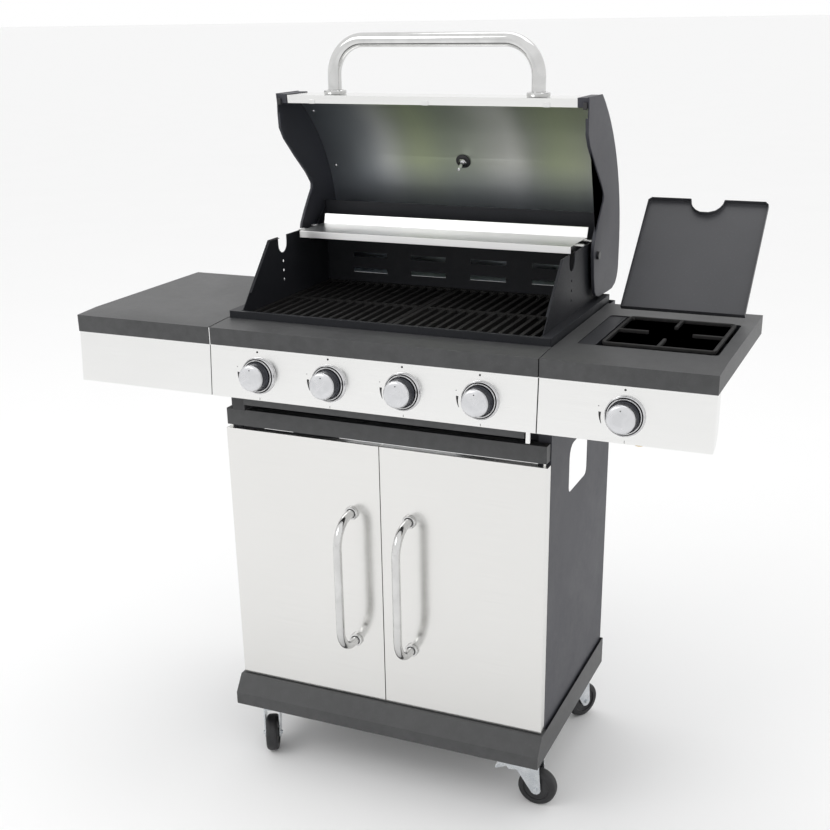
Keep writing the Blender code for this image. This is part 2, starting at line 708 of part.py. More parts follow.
def side_lid():
    """Lid of the side burner, drawn shut and turned back on its hinge."""
    x0, x1 = 0.3600, 0.5850
    long, deep, notch_r = 0.252, 0.010, 0.031
    middle = (x0 + x1) / 2
    outline = [(x0, 0.0), (x0, -long + 0.006), (x0 + 0.006, -long)]
    outline += arc((middle, -long), notch_r, 180, 0, 10)
    outline += [(x1 - 0.006, -long), (x1, -long + 0.006), (x1, 0.0)]
    mesh = flat([outline], deep)
    bm = bmesh.new()
    bm.from_mesh(mesh)
    drop_faces(bm, lambda c, n: n.z < -0.9)
    bm.transform(Matrix.Translation((0, 0.004, 0)))
    hinge = Matrix.Translation((0, side_lid_pivot_y, side_lid_pivot_z))
    hinge = hinge @ Matrix.Rotation(-side_lid_open, 4, "X")
    shell(piece("side_burner_lid", to_mesh(bm), "dark_paint", hinge))


# ---- hood ---------------------------------------------------------------------------
def hood_curve():
    """Outer line of the hood from its rear lower end over the back to the front lip."""
    lower = [(0.217, 0.929), (0.247, 0.929)] + arc((0.247, 0.969), 0.040, -60, -8, 4)
    back = arc_through((0.2870, 1.016), (0.2340, 1.188), (0.1250, hood_flat_z), 12)
    return lower + back + [(0.0390, hood_flat_z), (0.0415, 1.279)]


def offset(path, distance):
    """The same open path moved sideways, to the left of its direction."""
    points = [Vector(p) for p in path]
    out = []
    for i, point in enumerate(points):
        before = (point - points[max(i - 1, 0)]) if i else (points[1] - point)
        after = (points[i + 1] - point) if i < len(points) - 1 else before
        n0 = Vector((-before.y, before.x)).normalized()
        n1 = Vector((-after.y, after.x)).normalized()
        bisector = (n0 + n1).normalized()
        out.append(tuple(point + bisector * distance / max(bisector.dot(n0), 0.3)))
    return out


def hood():
    cap_front = [(0.041, 1.262), (0.043, 1.235), (0.057, 1.214), (0.096, 1.178), (0.136, 1.144)]
    cap_front += arc((0.1475, 1.113), 0.0125, 35, -25, 3)
    cap_front += [(0.143, 1.090), (0.126, 1.069), (0.109, 1.045), (0.104, 1.027), (0.112, 0.975)]
    cap_front += [(0.122, 0.946), (0.134, 0.936), (0.150, 0.932)]
    outline = hood_curve() + cap_front
    # the flange runs just inside the edge of the plate and laps over the ends of the skin
    flange = offset(hood_curve(), 0.0010) + offset(hood_curve(), cap_wall)[::-1]
    for hand, sign in both_sides():
        x0, x1 = along_x(sign, cap_outer_x - cap_wall, cap_outer_x)
        cap = piece("hood_cap_" + hand, to_mesh(prism(outline, x0, x1)), "dark_paint")
        f0, f1 = along_x(sign, cap_inner_x, cap_outer_x - 0.0008)
        boolean(cap, cutter(to_mesh(prism(flange, f0, f1))), "UNION")
        hole = rod(0.0043, (x0 - 0.01, pivot_y, pivot_z), (x1 + 0.01, pivot_y, pivot_z), segments=16)
        boolean(cap, cutter(to_mesh(hole)))
        shank = rod(0.0040, (sign * 0.2870, pivot_y, pivot_z),
                    (sign * (cap_outer_x + 0.001), pivot_y, pivot_z), segments=14)
        bolt = piece("hood_bolt_" + hand, smooth(to_mesh(shank)), "zinc")
        head = rod(0.0075, (sign * (cap_outer_x + gap), pivot_y, pivot_z),
                   (sign * (cap_outer_x + 0.0045), pivot_y, pivot_z), segments=16)
        boolean(bolt, cutter(to_mesh(head)), "UNION")
    hood_skin()
    thermometer()
    hood_handle()


def hood_skin():
    outer = offset(hood_curve(), cap_wall + gap)
    liner = offset(hood_curve(), 0.016)
    # one folded sheet: outer face, front lip, then the liner back down inside
    path = outer + liner[-3:4:-1]
    half = cap_outer_x - cap_wall - gap
    mesh = bpy.data.meshes.new("hood_skin")
    mesh.from_pydata([(-half, y, z) for y, z in path], [(i, i + 1) for i in range(len(path) - 1)], [])
    bm = bmesh.new()
    bm.from_mesh(mesh)
    swept = bmesh.ops.extrude_edge_only(bm, edges=bm.edges)["geom"]
    far = [v for v in swept if isinstance(v, bmesh.types.BMVert)]
    bmesh.ops.translate(bm, vec=(2 * half, 0, 0), verts=far)
    bm.normal_update()
    bm.faces.ensure_lookup_table()
    top = max(bm.faces, key=lambda f: f.calc_center_median().z)
    if top.normal.z < 0:
        bmesh.ops.reverse_faces(bm, faces=bm.faces)
    skin = piece("hood_skin", to_mesh(bm), "hood_steel")
    shell(skin, 0.001)
    hole = to_mesh(rod(0.0055, (0, 0, -0.05), (0, 0, 0.03), segments=16))
    boolean(skin, cutter(hole, gauge_frame()))


def gauge_frame():
    """Frame on the outside of the hood where the thermometer sits, +Z pointing outwards."""
    line = arc_through((0.2870, 1.016), (0.2340, 1.188), (0.1250, hood_flat_z), 24)
    low, high = Vector(line[11]), Vector(line[12])
    middle = (low + high) / 2
    along = (high - low).normalized()
    out = Vector((0, along.y, -along.x)).normalized()
    return Matrix.Translation((0, middle.x, middle.y)) @ out.to_track_quat("Z", "X").to_matrix().to_4x4()


def thermometer():
    stem = 0.0050
    profile = [(0, 0.010), (0.026, 0.009), (0.028, 0.006), (0.028, 0.0005), (stem, 0.0005), (stem, -0.0185),
               (0.009, -0.0185), (0.009, -0.024), (0.003, -0.025), (0.003, -0.045), (0, -0.046)]
    turned("thermometer", profile, "bright_steel", gauge_frame(), 20)


def hood_handle():
    foot_x, rise, bend, radius = 0.2005, 0.094, 0.062, 0.0128
    base = hood_flat_z - 0.0012
    left = arc((bend - foot_x, base + rise - bend), bend, 180, 90, 7)
    right = arc((foot_x - bend, base + rise - bend), bend, 90, 0, 7)
    path = [(-foot_x, hood_handle_y, base)] + [(x, hood_handle_y, z) for x, z in left + right]
    path += [(foot_x, hood_handle_y, base)]
    handle = piece("hood_handle", tube(path, radius, 3), "bright_steel")
    for sign in (-1, 1):
        foot = rod(0.0215, (sign * foot_x, hood_handle_y, base),
                   (sign * foot_x, hood_handle_y, base + 0.008), segments=24)
        boolean(handle, cutter(to_mesh(foot)), "UNION")


base_tray()
side_panels()
rear_brace()
front_rail()
doors()
casters()
firebox()
burners()
grates()
warming_rack()
grease_tray()
gas_manifold()
controls()
worktop()
side_burner()
side_lid()
hood()
bpy.context.view_layer.update()
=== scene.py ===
import json
import math

import bmesh
import bpy
from mathutils import Matrix, Vector

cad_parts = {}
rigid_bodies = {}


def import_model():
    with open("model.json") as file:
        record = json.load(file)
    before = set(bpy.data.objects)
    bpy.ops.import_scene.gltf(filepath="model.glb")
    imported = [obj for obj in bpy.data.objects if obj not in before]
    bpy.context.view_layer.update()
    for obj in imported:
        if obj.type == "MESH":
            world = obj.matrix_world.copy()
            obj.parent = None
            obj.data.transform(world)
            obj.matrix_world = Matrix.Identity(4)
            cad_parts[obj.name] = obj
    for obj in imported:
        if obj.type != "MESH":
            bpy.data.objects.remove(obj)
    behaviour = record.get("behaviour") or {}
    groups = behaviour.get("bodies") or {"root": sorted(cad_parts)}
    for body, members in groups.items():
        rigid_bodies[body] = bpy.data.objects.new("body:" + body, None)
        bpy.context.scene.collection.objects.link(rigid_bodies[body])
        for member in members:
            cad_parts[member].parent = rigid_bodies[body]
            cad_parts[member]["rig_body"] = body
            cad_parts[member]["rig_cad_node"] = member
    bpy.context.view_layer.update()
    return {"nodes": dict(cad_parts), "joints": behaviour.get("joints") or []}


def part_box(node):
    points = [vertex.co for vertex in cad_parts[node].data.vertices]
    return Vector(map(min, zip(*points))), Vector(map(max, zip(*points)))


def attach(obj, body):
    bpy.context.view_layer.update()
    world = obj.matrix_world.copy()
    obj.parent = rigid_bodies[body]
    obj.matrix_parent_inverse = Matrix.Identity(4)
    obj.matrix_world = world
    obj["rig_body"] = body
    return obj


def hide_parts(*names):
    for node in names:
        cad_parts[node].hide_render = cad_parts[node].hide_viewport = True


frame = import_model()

nodes = frame["nodes"]
joints = {joint["name"]: joint for joint in frame["joints"]}
bodyOf = {name: item["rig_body"] for name, item in nodes.items()}


# small tools: selection and edit mode
def deselectAll():
    bpy.ops.object.select_all(action="DESELECT")


def only(item):
    deselectAll()
    item.select_set(True)
    bpy.context.view_layer.objects.active = item
    return item


def edit(item):
    only(item)
    bpy.ops.object.mode_set(mode="EDIT")


def leaveEdit():
    bpy.ops.object.mode_set(mode="OBJECT")


def pickPoints(test):  # selects points of the edited mesh by place
    bpy.ops.mesh.select_mode(type="VERT")
    bpy.ops.mesh.select_all(action="DESELECT")
    mesh = bmesh.from_edit_mesh(bpy.context.object.data)
    for vert in mesh.verts:
        vert.select_set(bool(test(vert.co)))
    mesh.select_flush_mode()
    bmesh.update_edit_mesh(bpy.context.object.data)


def settle(item, place=None):  # puts the place into the mesh
    only(item)
    if place is not None:
        item.matrix_world = place
    bpy.ops.object.transform_apply(location=True, rotation=True, scale=True)


def modify(item, kind, **settings):
    only(item)
    change = item.modifiers.new(kind.lower(), kind)
    for name, value in settings.items():
        setattr(change, name, value)
    bpy.ops.object.modifier_apply(modifier=change.name)


def soften(item, width, angle=32, segments=2):  # rounds every edge sharper than angle
    modify(item, "BEVEL", width=width, segments=segments, limit_method="ANGLE",
           angle_limit=math.radians(angle), use_clamp_overlap=True)
    only(item)
    bpy.ops.object.shade_smooth_by_angle(angle=math.radians(50))
    modify(item, "WEIGHTED_NORMAL", keep_sharp=True, weight=80)


def finish(item, name, body, material, replaces=()):
    item.name = name
    item.data.name = name
    if material is not None:
        item.data.materials.clear()
        item.data.materials.append(material)
    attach(item, body)
    if replaces:
        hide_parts(*replaces)
    return item


def axisPlace(origin, axis):  # local Z along axis, local Y as near up as it can be
    out = Vector(axis).normalized()
    up = Vector((0, 0, 1)) if abs(out.z) < 0.9 else Vector((0, 1, 0))
    side = up.cross(out).normalized()
    turn = Matrix((side, out.cross(side), out)).transposed().to_4x4()
    return Matrix.Translation(origin) @ turn


def turned(profile, steps, place=None):  # a point is extruded down the profile, then spun
    deselectAll()
    bpy.ops.mesh.primitive_plane_add(size=0.01)
    item = bpy.context.object
    edit(item)
    bpy.ops.mesh.select_all(action="SELECT")
    bpy.ops.mesh.merge(type="CENTER")
    bpy.ops.mesh.select_mode(type="VERT")
    bpy.ops.mesh.select_all(action="SELECT")
    bpy.ops.transform.translate(value=(profile[0][0], 0, profile[0][1]))
    for before, after in zip(profile, profile[1:]):
        step = (after[0] - before[0], 0, after[1] - before[1])
        bpy.ops.mesh.extrude_vertices_move(TRANSFORM_OT_translate={"value": step})
    bpy.ops.mesh.select_all(action="SELECT")
    bpy.ops.mesh.spin(steps=steps, angle=2 * math.pi, center=(0, 0, 0), axis=(0, 0, 1))
    bpy.ops.mesh.select_all(action="SELECT")
    bpy.ops.mesh.remove_doubles(threshold=0.00002)
    bpy.ops.mesh.normals_make_consistent(inside=False)
    leaveEdit()
    only(item)
    bpy.ops.object.shade_smooth_by_angle(angle=math.radians(38))
    if place is not None:
        settle(item, place)
    return item


def bentTube(start, heading, radius, moves, sides=40):  # a ring is pulled and swung along
    deselectAll()
    turn = Vector(heading).to_track_quat("Z", "Y").to_euler()
    bpy.ops.mesh.primitive_circle_add(vertices=sides, radius=radius, fill_type="NOTHING",
                                      location=start, rotation=turn)
    item = bpy.context.object
    settle(item)
    edit(item)
    bpy.ops.mesh.select_mode(type="EDGE")
    bpy.ops.mesh.select_all(action="SELECT")
    for move in moves:
        if move[0] == "run":
            bpy.ops.mesh.extrude_edges_move(TRANSFORM_OT_translate={"value": move[1]})
        else:
            bpy.ops.mesh.spin(steps=move[4], angle=-move[3], center=move[1], axis=move[2])
    bpy.ops.mesh.select_all(action="SELECT")
    bpy.ops.mesh.remove_doubles(threshold=0.00002)
    bpy.ops.mesh.fill_holes(sides=0)
    bpy.ops.mesh.select_all(action="SELECT")
    bpy.ops.mesh.normals_make_consistent(inside=False)
    leaveEdit()
    only(item)
    bpy.ops.object.shade_smooth_by_angle(angle=math.radians(38))
    return item


def block(low, high, place=None, width=0.0005, segments=2):  # a bar or tab with eased edges
    deselectAll()
    low, high = Vector(low), Vector(high)
    bpy.ops.mesh.primitive_cube_add(size=1, location=(low + high) / 2)
    item = bpy.context.object
    item.scale = high - low
    settle(item)
    soften(item, width, segments=segments)
    if place is not None:
        settle(item, place)
    return item


def folded(outline, x0, x1, wall, ease=0.0006):  # sheet bent along a (Y, Z) line
    deselectAll()
    bpy.ops.mesh.primitive_plane_add(size=0.01)
    item = bpy.context.object
    edit(item)
    bpy.ops.mesh.select_all(action="SELECT")
    bpy.ops.mesh.merge(type="CENTER")
    bpy.ops.mesh.select_mode(type="VERT")
    bpy.ops.mesh.select_all(action="SELECT")
    bpy.ops.transform.translate(value=(x0, outline[0][0], outline[0][1]))
    for before, after in zip(outline, outline[1:]):
        step = (0, after[0] - before[0], after[1] - before[1])
        bpy.ops.mesh.extrude_vertices_move(TRANSFORM_OT_translate={"value": step})
    bpy.ops.mesh.select_mode(type="EDGE")
    bpy.ops.mesh.select_all(action="SELECT")
    bpy.ops.mesh.extrude_edges_move(TRANSFORM_OT_translate={"value": (x1 - x0, 0, 0)})
    bpy.ops.mesh.select_all(action="SELECT")
    bpy.ops.mesh.normals_make_consistent(inside=False)
    leaveEdit()
    modify(item, "SOLIDIFY", thickness=wall, offset=0, use_even_offset=True)
    soften(item, ease)
    return item


def copied(item):  # a second one with its own mesh
    only(item)
    bpy.ops.object.duplicate()
    return bpy.context.object


def joined(items):
    deselectAll()
    for item in items:
        item.select_set(True)
    bpy.context.view_layer.objects.active = items[0]
    bpy.ops.object.join()
    return bpy.context.object


# shader groups: effects shared by the finishes
def newGroup(name, inputs, outputs):
    tree = bpy.data.node_groups.new(name, "ShaderNodeTree")
    for label, kind, value in inputs:
        socket = tree.interface.new_socket(label, in_out="INPUT", socket_type=kind)
        if value is not None:
            socket.default_value = value
    for label, kind in outputs:
        tree.interface.new_socket(label, in_out="OUTPUT", socket_type=kind)
    return tree, tree.nodes.new("NodeGroupInput"), tree.nodes.new("NodeGroupOutput")


def mathNode(tree, operation, first, second=None):
    made = tree.nodes.new("ShaderNodeMath")
    made.operation = operation
    for socket, value in zip(made.inputs, (first, second)):
        if value is None:
            continue
        if isinstance(value, (int, float)):
            socket.default_value = value
        else:
            tree.links.new(value, socket)
    return made.outputs[0]


def spread(tree, value, low, high, outLow, outHigh):
    made = tree.nodes.new("ShaderNodeMapRange")
    tree.links.new(value, made.inputs["Value"])
    ends = {"From Min": low, "From Max": high, "To Min": outLow, "To Max": outHigh}
    for label, number in ends.items():
        made.inputs[label].default_value = number
    return made.outputs["Result"]


def noise(tree, vector, scale, detail=3.0, rough=0.5):
    made = tree.nodes.new("ShaderNodeTexNoise")
    tree.links.new(vector, made.inputs["Vector"])
    made.inputs["Scale"].default_value = scale
    made.inputs["Detail"].default_value = detail
    made.inputs["Roughness"].default_value = rough
    return made.outputs["Fac"]


def makeBrushGroup():  # fine scratches along one direction, with slow bands over them
    tree, inside, outside = newGroup("brushedLines", [("Vector", "NodeSocketVector", None),
                                                      ("Stretch", "NodeSocketVector", (6, 900, 900))],
                                     [("Lines", "NodeSocketFloat"), ("Bands", "NodeSocketFloat")])
    scaled = tree.nodes.new("ShaderNodeVectorMath")
    scaled.operation = "MULTIPLY"
    tree.links.new(inside.outputs["Vector"], scaled.inputs[0])
    tree.links.new(inside.outputs["Stretch"], scaled.inputs[1])
    lines = noise(tree, scaled.outputs[0], 1.0, 4.0, 0.62)
    tree.links.new(lines, outside.inputs["Lines"])
    tree.links.new(noise(tree, inside.outputs["Vector"], 3.2, 2.0), outside.inputs["Bands"])
    return tree


def makeCoatGroup():  # the orange peel and slow tone of a powder coat
    tree, inside, outside = newGroup("coatPeel", [("Vector", "NodeSocketVector", None),
                                                  ("Grain", "NodeSocketFloat", 900.0)],
                                     [("Height", "NodeSocketFloat"), ("Tone", "NodeSocketFloat"),
                                      ("Speck", "NodeSocketFloat")])
    fine = tree.nodes.new("ShaderNodeTexNoise")
    tree.links.new(inside.outputs["Vector"], fine.inputs["Vector"])
    tree.links.new(inside.outputs["Grain"], fine.inputs["Scale"])
    fine.inputs["Detail"].default_value = 3
    tree.links.new(fine.outputs["Fac"], outside.inputs["Height"])
    tree.links.new(noise(tree, inside.outputs["Vector"], 5.0, 4.0), outside.inputs["Tone"])
    speck = noise(tree, inside.outputs["Vector"], 420.0, 1.0)
    tree.links.new(spread(tree, speck, 0.62, 0.72, 0, 1), outside.inputs["Speck"])
    return tree


def makeWearGroup():  # where edges and corners are rubbed brighter
    tree, inside, outside = newGroup("rubbedEdges", [("Vector", "NodeSocketVector", None),
                                                     ("Amount", "NodeSocketFloat", 0.5)],
                                     [("Mask", "NodeSocketFloat")])
    shape = tree.nodes.new("ShaderNodeNewGeometry")
    edge = spread(tree, shape.outputs["Pointiness"], 0.52, 0.60, 0, 1)
    patch = spread(tree, noise(tree, inside.outputs["Vector"], 60, 4), 0.35, 0.65, 0.2, 1)
    both = mathNode(tree, "MULTIPLY", edge, patch)
    tree.links.new(mathNode(tree, "MULTIPLY", both, inside.outputs["Amount"]), outside.inputs["Mask"])
    return tree


def makeSmudgeGroup():  # wiped patches that change the gloss
    tree, inside, outside = newGroup("wipedPatches", [("Vector", "NodeSocketVector", None),
                                                      ("Size", "NodeSocketFloat", 9.0)],
                                     [("Amount", "NodeSocketFloat")])
    soft = tree.nodes.new("ShaderNodeTexNoise")
    tree.links.new(inside.outputs["Vector"], soft.inputs["Vector"])
    tree.links.new(inside.outputs["Size"], soft.inputs["Scale"])
    soft.inputs["Detail"].default_value = 5
    soft.inputs["Distortion"].default_value = 0.6
    tree.links.new(spread(tree, soft.outputs["Fac"], 0.35, 0.7, 0, 1), outside.inputs["Amount"])
    return tree


brushGroup = makeBrushGroup()
coatGroup = makeCoatGroup()
wearGroup = makeWearGroup()
smudgeGroup = makeSmudgeGroup()
print("shader groups ready")


# finishes
def blank(name):
    material = bpy.data.materials.new(name)
    material.use_nodes = True
    tree = material.node_tree
    place = tree.nodes.new("ShaderNodeTexCoord").outputs["Object"]
    return material, tree, tree.nodes["Principled BSDF"], place


def useGroup(tree, group, place, **values):
    made = tree.nodes.new("ShaderNodeGroup")
    made.node_tree = group
    tree.links.new(place, made.inputs["Vector"])
    for name, value in values.items():
        made.inputs[name].default_value = value
    return made.outputs


def blendColours(tree, factor, first, second):
    made = tree.nodes.new("ShaderNodeMix")
    made.data_type = "RGBA"
    tree.links.new(factor, made.inputs["Factor"])
    for socket, value in ((made.inputs["A"], first), (made.inputs["B"], second)):
        if isinstance(value, tuple):
            socket.default_value = (*value, 1)
        else:
            tree.links.new(value, socket)
    return made.outputs["Result"]


def bump(tree, shader, height, strength, distance):
    made = tree.nodes.new("ShaderNodeBump")
    made.inputs["Strength"].default_value = strength
    made.inputs["Distance"].default_value = distance
    tree.links.new(height, made.inputs["Height"])
    tree.links.new(made.outputs["Normal"], shader.inputs["Normal"])


def brushedMetal(name, look):  # sheet metal with a directional grain
    material, tree, shader, place = blank(name)
    shader.inputs["Metallic"].default_value = 1.0
    grain = useGroup(tree, brushGroup, place, Stretch=look["stretch"])
    smudge = useGroup(tree, smudgeGroup, place, Size=look["smudge"])
    tone = blendColours(tree, grain["Lines"], look["dark"], look["light"])
    bands = spread(tree, grain["Bands"], 0.3, 0.7, 0, look["banding"])
    tone = blendColours(tree, bands, tone, look["band"])
    tree.links.new(tone, shader.inputs["Base Color"])
    rough = spread(tree, grain["Lines"], 0.2, 0.8, look["rough"][0], look["rough"][1])
    rough = mathNode(tree, "ADD", rough, mathNode(tree, "MULTIPLY", smudge["Amount"], 0.05))
    tree.links.new(rough, shader.inputs["Roughness"])
    bump(tree, shader, grain["Lines"], look["bump"], 0.0004)
    return material


def powderCoat(name, look):  # baked paint on sheet steel
    material, tree, shader, place = blank(name)
    coat = useGroup(tree, coatGroup, place, Grain=look["grain"])
    wear = useGroup(tree, wearGroup, place, Amount=look["wear"])
    smudge = useGroup(tree, smudgeGroup, place, Size=7.0)
    tone = blendColours(tree, spread(tree, coat["Tone"], 0.3, 0.7, 0, 1), look["dark"], look["light"])
    tone = blendColours(tree, mathNode(tree, "MULTIPLY", coat["Speck"], 0.35), tone, look["speck"])
    tone = blendColours(tree, wear["Mask"], tone, look["worn"])
    tree.links.new(tone, shader.inputs["Base Color"])
    rough = spread(tree, coat["Height"], 0.3, 0.7, look["rough"][0], look["rough"][1])
    rough = mathNode(tree, "SUBTRACT", rough, mathNode(tree, "MULTIPLY", smudge["Amount"], 0.05))
    tree.links.new(rough, shader.inputs["Roughness"])
    shader.inputs["Metallic"].default_value = look["metallic"]
    shader.inputs["Specular IOR Level"].default_value = look.get("shine", 0.5)
    bump(tree, shader, coat["Height"], look["bump"], 0.0003)
    return material


def polished(name, look):  # bright metal with faint wipe marks
    material, tree, shader, place = blank(name)
    shader.inputs["Metallic"].default_value = 1.0
    smudge = useGroup(tree, smudgeGroup, place, Size=look["smudge"])
    fine = noise(tree, place, 260, 2)
    tone = blendColours(tree, smudge["Amount"], look["light"], look["dark"])
    tree.links.new(tone, shader.inputs["Base Color"])
    tree.links.new(spread(tree, smudge["Amount"], 0, 1, look["rough"][0], look["rough"][1]),
                   shader.inputs["Roughness"])
    bump(tree, shader, fine, look["bump"], 0.0002)
    return material


def castFinish(name, look):  # castings, rubber and moulded plastic
    material, tree, shader, place = blank(name)
    coarse = noise(tree, place, look["coarse"], 5, 0.6)
    fine = noise(tree, place, look["fine"], 3, 0.6)
    wear = useGroup(tree, wearGroup, place, Amount=look["wear"])
    tone = blendColours(tree, spread(tree, coarse, 0.3, 0.7, 0, 1), look["dark"], look["light"])
    tone = blendColours(tree, wear["Mask"], tone, look["worn"])
    tree.links.new(tone, shader.inputs["Base Color"])
    tree.links.new(spread(tree, fine, 0.25, 0.75, look["rough"][0], look["rough"][1]),
                   shader.inputs["Roughness"])
    shader.inputs["Metallic"].default_value = look["metallic"]
    shader.inputs["Specular IOR Level"].default_value = look.get("shine", 0.5)
    bump(tree, shader, mathNode(tree, "ADD", coarse, fine), look["bump"], look["depth"])
    return material


doorSteel = brushedMetal("doorSteel", {
    "stretch": (7, 1100, 1100), "smudge": 4.0, "dark": (0.69, 0.685, 0.67), "light": (0.82, 0.815, 0.80),
    "band": (0.73, 0.725, 0.71), "banding": 0.45, "rough": (0.13, 0.21), "bump": 0.02})
panelSteel = brushedMetal("panelSteel", {
    "stretch": (9, 1200, 1200), "smudge": 8.0, "dark": (0.80, 0.80, 0.79), "light": (0.92, 0.92, 0.91),
    "band": (0.84, 0.84, 0.83), "banding": 0.3, "rough": (0.16, 0.26), "bump": 0.02})
hoodSteel = brushedMetal("hoodSteel", {
    "stretch": (8, 900, 900), "smudge": 5.0, "dark": (0.72, 0.72, 0.71), "light": (0.86, 0.86, 0.85),
    "band": (0.76, 0.76, 0.75), "banding": 0.4, "rough": (0.16, 0.26), "bump": 0.02})
burnerSteel = brushedMetal("burnerSteel", {
    "stretch": (500, 9, 500), "smudge": 20.0, "dark": (0.30, 0.28, 0.26), "light": (0.44, 0.42, 0.39),
    "band": (0.30, 0.24, 0.19), "banding": 0.7, "rough": (0.30, 0.44), "bump": 0.06})
rackSteel = brushedMetal("rackSteel", {
    "stretch": (14, 1400, 1400), "smudge": 10.0, "dark": (0.76, 0.76, 0.76), "light": (0.82, 0.82, 0.81),
    "band": (0.72, 0.72, 0.71), "banding": 0.3, "rough": (0.26, 0.34), "bump": 0.006})
handleSteel = polished("handleSteel", {
    "light": (0.68, 0.68, 0.675), "dark": (0.58, 0.58, 0.575), "rough": (0.06, 0.13), "smudge": 30.0,
    "bump": 0.01})
bezelChrome = polished("bezelChrome", {
    "light": (0.68, 0.68, 0.69), "dark": (0.58, 0.58, 0.59), "rough": (0.05, 0.10), "smudge": 45.0,
    "bump": 0.008})
knobSatin = polished("knobSatin", {
    "light": (0.70, 0.705, 0.72), "dark": (0.62, 0.625, 0.64), "rough": (0.26, 0.34), "smudge": 60.0,
    "bump": 0.03})
knobDark = polished("knobDark", {
    "light": (0.060, 0.062, 0.070), "dark": (0.040, 0.042, 0.050), "rough": (0.22, 0.32), "smudge": 60.0,
    "bump": 0.03})
darkCoat = powderCoat("darkCoat", {
    "grain": 1500.0, "wear": 0.25, "dark": (0.036, 0.037, 0.038), "light": (0.045, 0.046, 0.047),
    "speck": (0.070, 0.071, 0.074), "worn": (0.12, 0.12, 0.125), "rough": (0.42, 0.54), "metallic": 0.0,
    "bump": 0.08})
blueCoat = powderCoat("blueCoat", {
    "grain": 1500.0, "wear": 0.25, "dark": (0.033, 0.034, 0.042), "light": (0.042, 0.043, 0.053),
    "speck": (0.068, 0.069, 0.082), "worn": (0.12, 0.12, 0.135), "rough": (0.44, 0.56), "metallic": 0.0,
    "bump": 0.08, "shine": 0.3})
fireEnamel = powderCoat("fireEnamel", {
    "grain": 700.0, "wear": 0.15, "dark": (0.013, 0.014, 0.017), "light": (0.021, 0.022, 0.026),
    "speck": (0.035, 0.036, 0.042), "worn": (0.05, 0.05, 0.055), "rough": (0.42, 0.55), "metallic": 0.0,
    "bump": 0.10, "shine": 0.22})
lidEnamel = powderCoat("lidEnamel", {
    "grain": 1100.0, "wear": 0.2, "dark": (0.040, 0.041, 0.046), "light": (0.052, 0.053, 0.059),
    "speck": (0.075, 0.076, 0.084), "worn": (0.12, 0.12, 0.13), "rough": (0.40, 0.52), "metallic": 0.0,
    "bump": 0.10})
grateIron = castFinish("grateIron", {
    "coarse": 90, "fine": 900, "wear": 0.2, "dark": (0.009, 0.009, 0.009), "light": (0.019, 0.018, 0.018),
    "worn": (0.045, 0.043, 0.040), "rough": (0.50, 0.70), "metallic": 0.0, "bump": 0.35, "depth": 0.0006,
    "shine": 0.25})
zincPlate = castFinish("zincPlate", {
    "coarse": 45, "fine": 500, "wear": 0.4, "dark": (0.52, 0.55, 0.58), "light": (0.70, 0.72, 0.74),
    "worn": (0.82, 0.83, 0.84), "rough": (0.20, 0.34), "metallic": 1.0, "bump": 0.06, "depth": 0.0004})
traySteel = castFinish("traySteel", {
    "coarse": 30, "fine": 300, "wear": 0.2, "dark": (0.42, 0.43, 0.44), "light": (0.56, 0.57, 0.58),
    "worn": (0.70, 0.70, 0.71), "rough": (0.30, 0.46), "metallic": 1.0, "bump": 0.08, "depth": 0.0005})
valveBrass = castFinish("valveBrass", {
    "coarse": 60, "fine": 700, "wear": 0.3, "dark": (0.50, 0.35, 0.14), "light": (0.66, 0.50, 0.23),
    "worn": (0.80, 0.66, 0.38), "rough": (0.24, 0.38), "metallic": 1.0, "bump": 0.06, "depth": 0.0003})
tyreRubber = castFinish("tyreRubber", {
    "coarse": 70, "fine": 800, "wear": 0.2, "dark": (0.008, 0.008, 0.009), "light": (0.018, 0.018, 0.020),
    "worn": (0.04, 0.04, 0.04), "rough": (0.46, 0.62), "metallic": 0.0, "bump": 0.2, "depth": 0.0004})
wheelPlastic = castFinish("wheelPlastic", {
    "coarse": 40, "fine": 900, "wear": 0.2, "dark": (0.014, 0.014, 0.016), "light": (0.026, 0.026, 0.028),
    "worn": (0.06, 0.06, 0.06), "rough": (0.32, 0.44), "metallic": 0.0, "bump": 0.1, "depth": 0.0003})
# near-black used both for real printed marks and for strips and rings of painted shade in gaps
printInkAndShade = castFinish("printInkAndShade", {
    "coarse": 200, "fine": 1500, "wear": 0.0, "dark": (0.004, 0.004, 0.005), "light": (0.009, 0.009, 0.010),
    "worn": (0.02, 0.02, 0.02), "rough": (0.50, 0.62), "metallic": 0.0, "bump": 0.05, "depth": 0.0001})
dialPaper = castFinish("dialPaper", {
    "coarse": 50, "fine": 1200, "wear": 0.0, "dark": (0.74, 0.73, 0.70), "light": (0.82, 0.81, 0.78),
    "worn": (0.8, 0.8, 0.8), "rough": (0.45, 0.6), "metallic": 0.0, "bump": 0.04, "depth": 0.0001})
# the liner's colour bands are painted reflections: the near-white stops are painted highlight streaks, the
# olive stops a painted reflected tint
linerPaintedReflectionLook = {
    "bands": [(0.00, (0.46, 0.50, 0.54)), (0.13, (0.50, 0.54, 0.57)), (0.21, (0.90, 0.92, 0.90)),
              (0.28, (0.56, 0.62, 0.48)), (0.36, (0.66, 0.74, 0.48)), (0.45, (0.48, 0.54, 0.44)),
              (0.56, (0.60, 0.64, 0.56)), (0.65, (0.96, 0.97, 0.93)), (0.70, (0.90, 0.91, 0.86)),
              (0.75, (0.52, 0.56, 0.48)), (0.84, (0.64, 0.72, 0.48)), (0.94, (0.72, 0.78, 0.58)),
              (1.00, (0.66, 0.68, 0.66))],
    "lower": (0.46, 0.50, 0.56), "rough": (0.42, 0.50),
    "halfWidth": 0.29, "fade": (1.16, 1.08),  # the bands' half width, and the heights they fade between
}


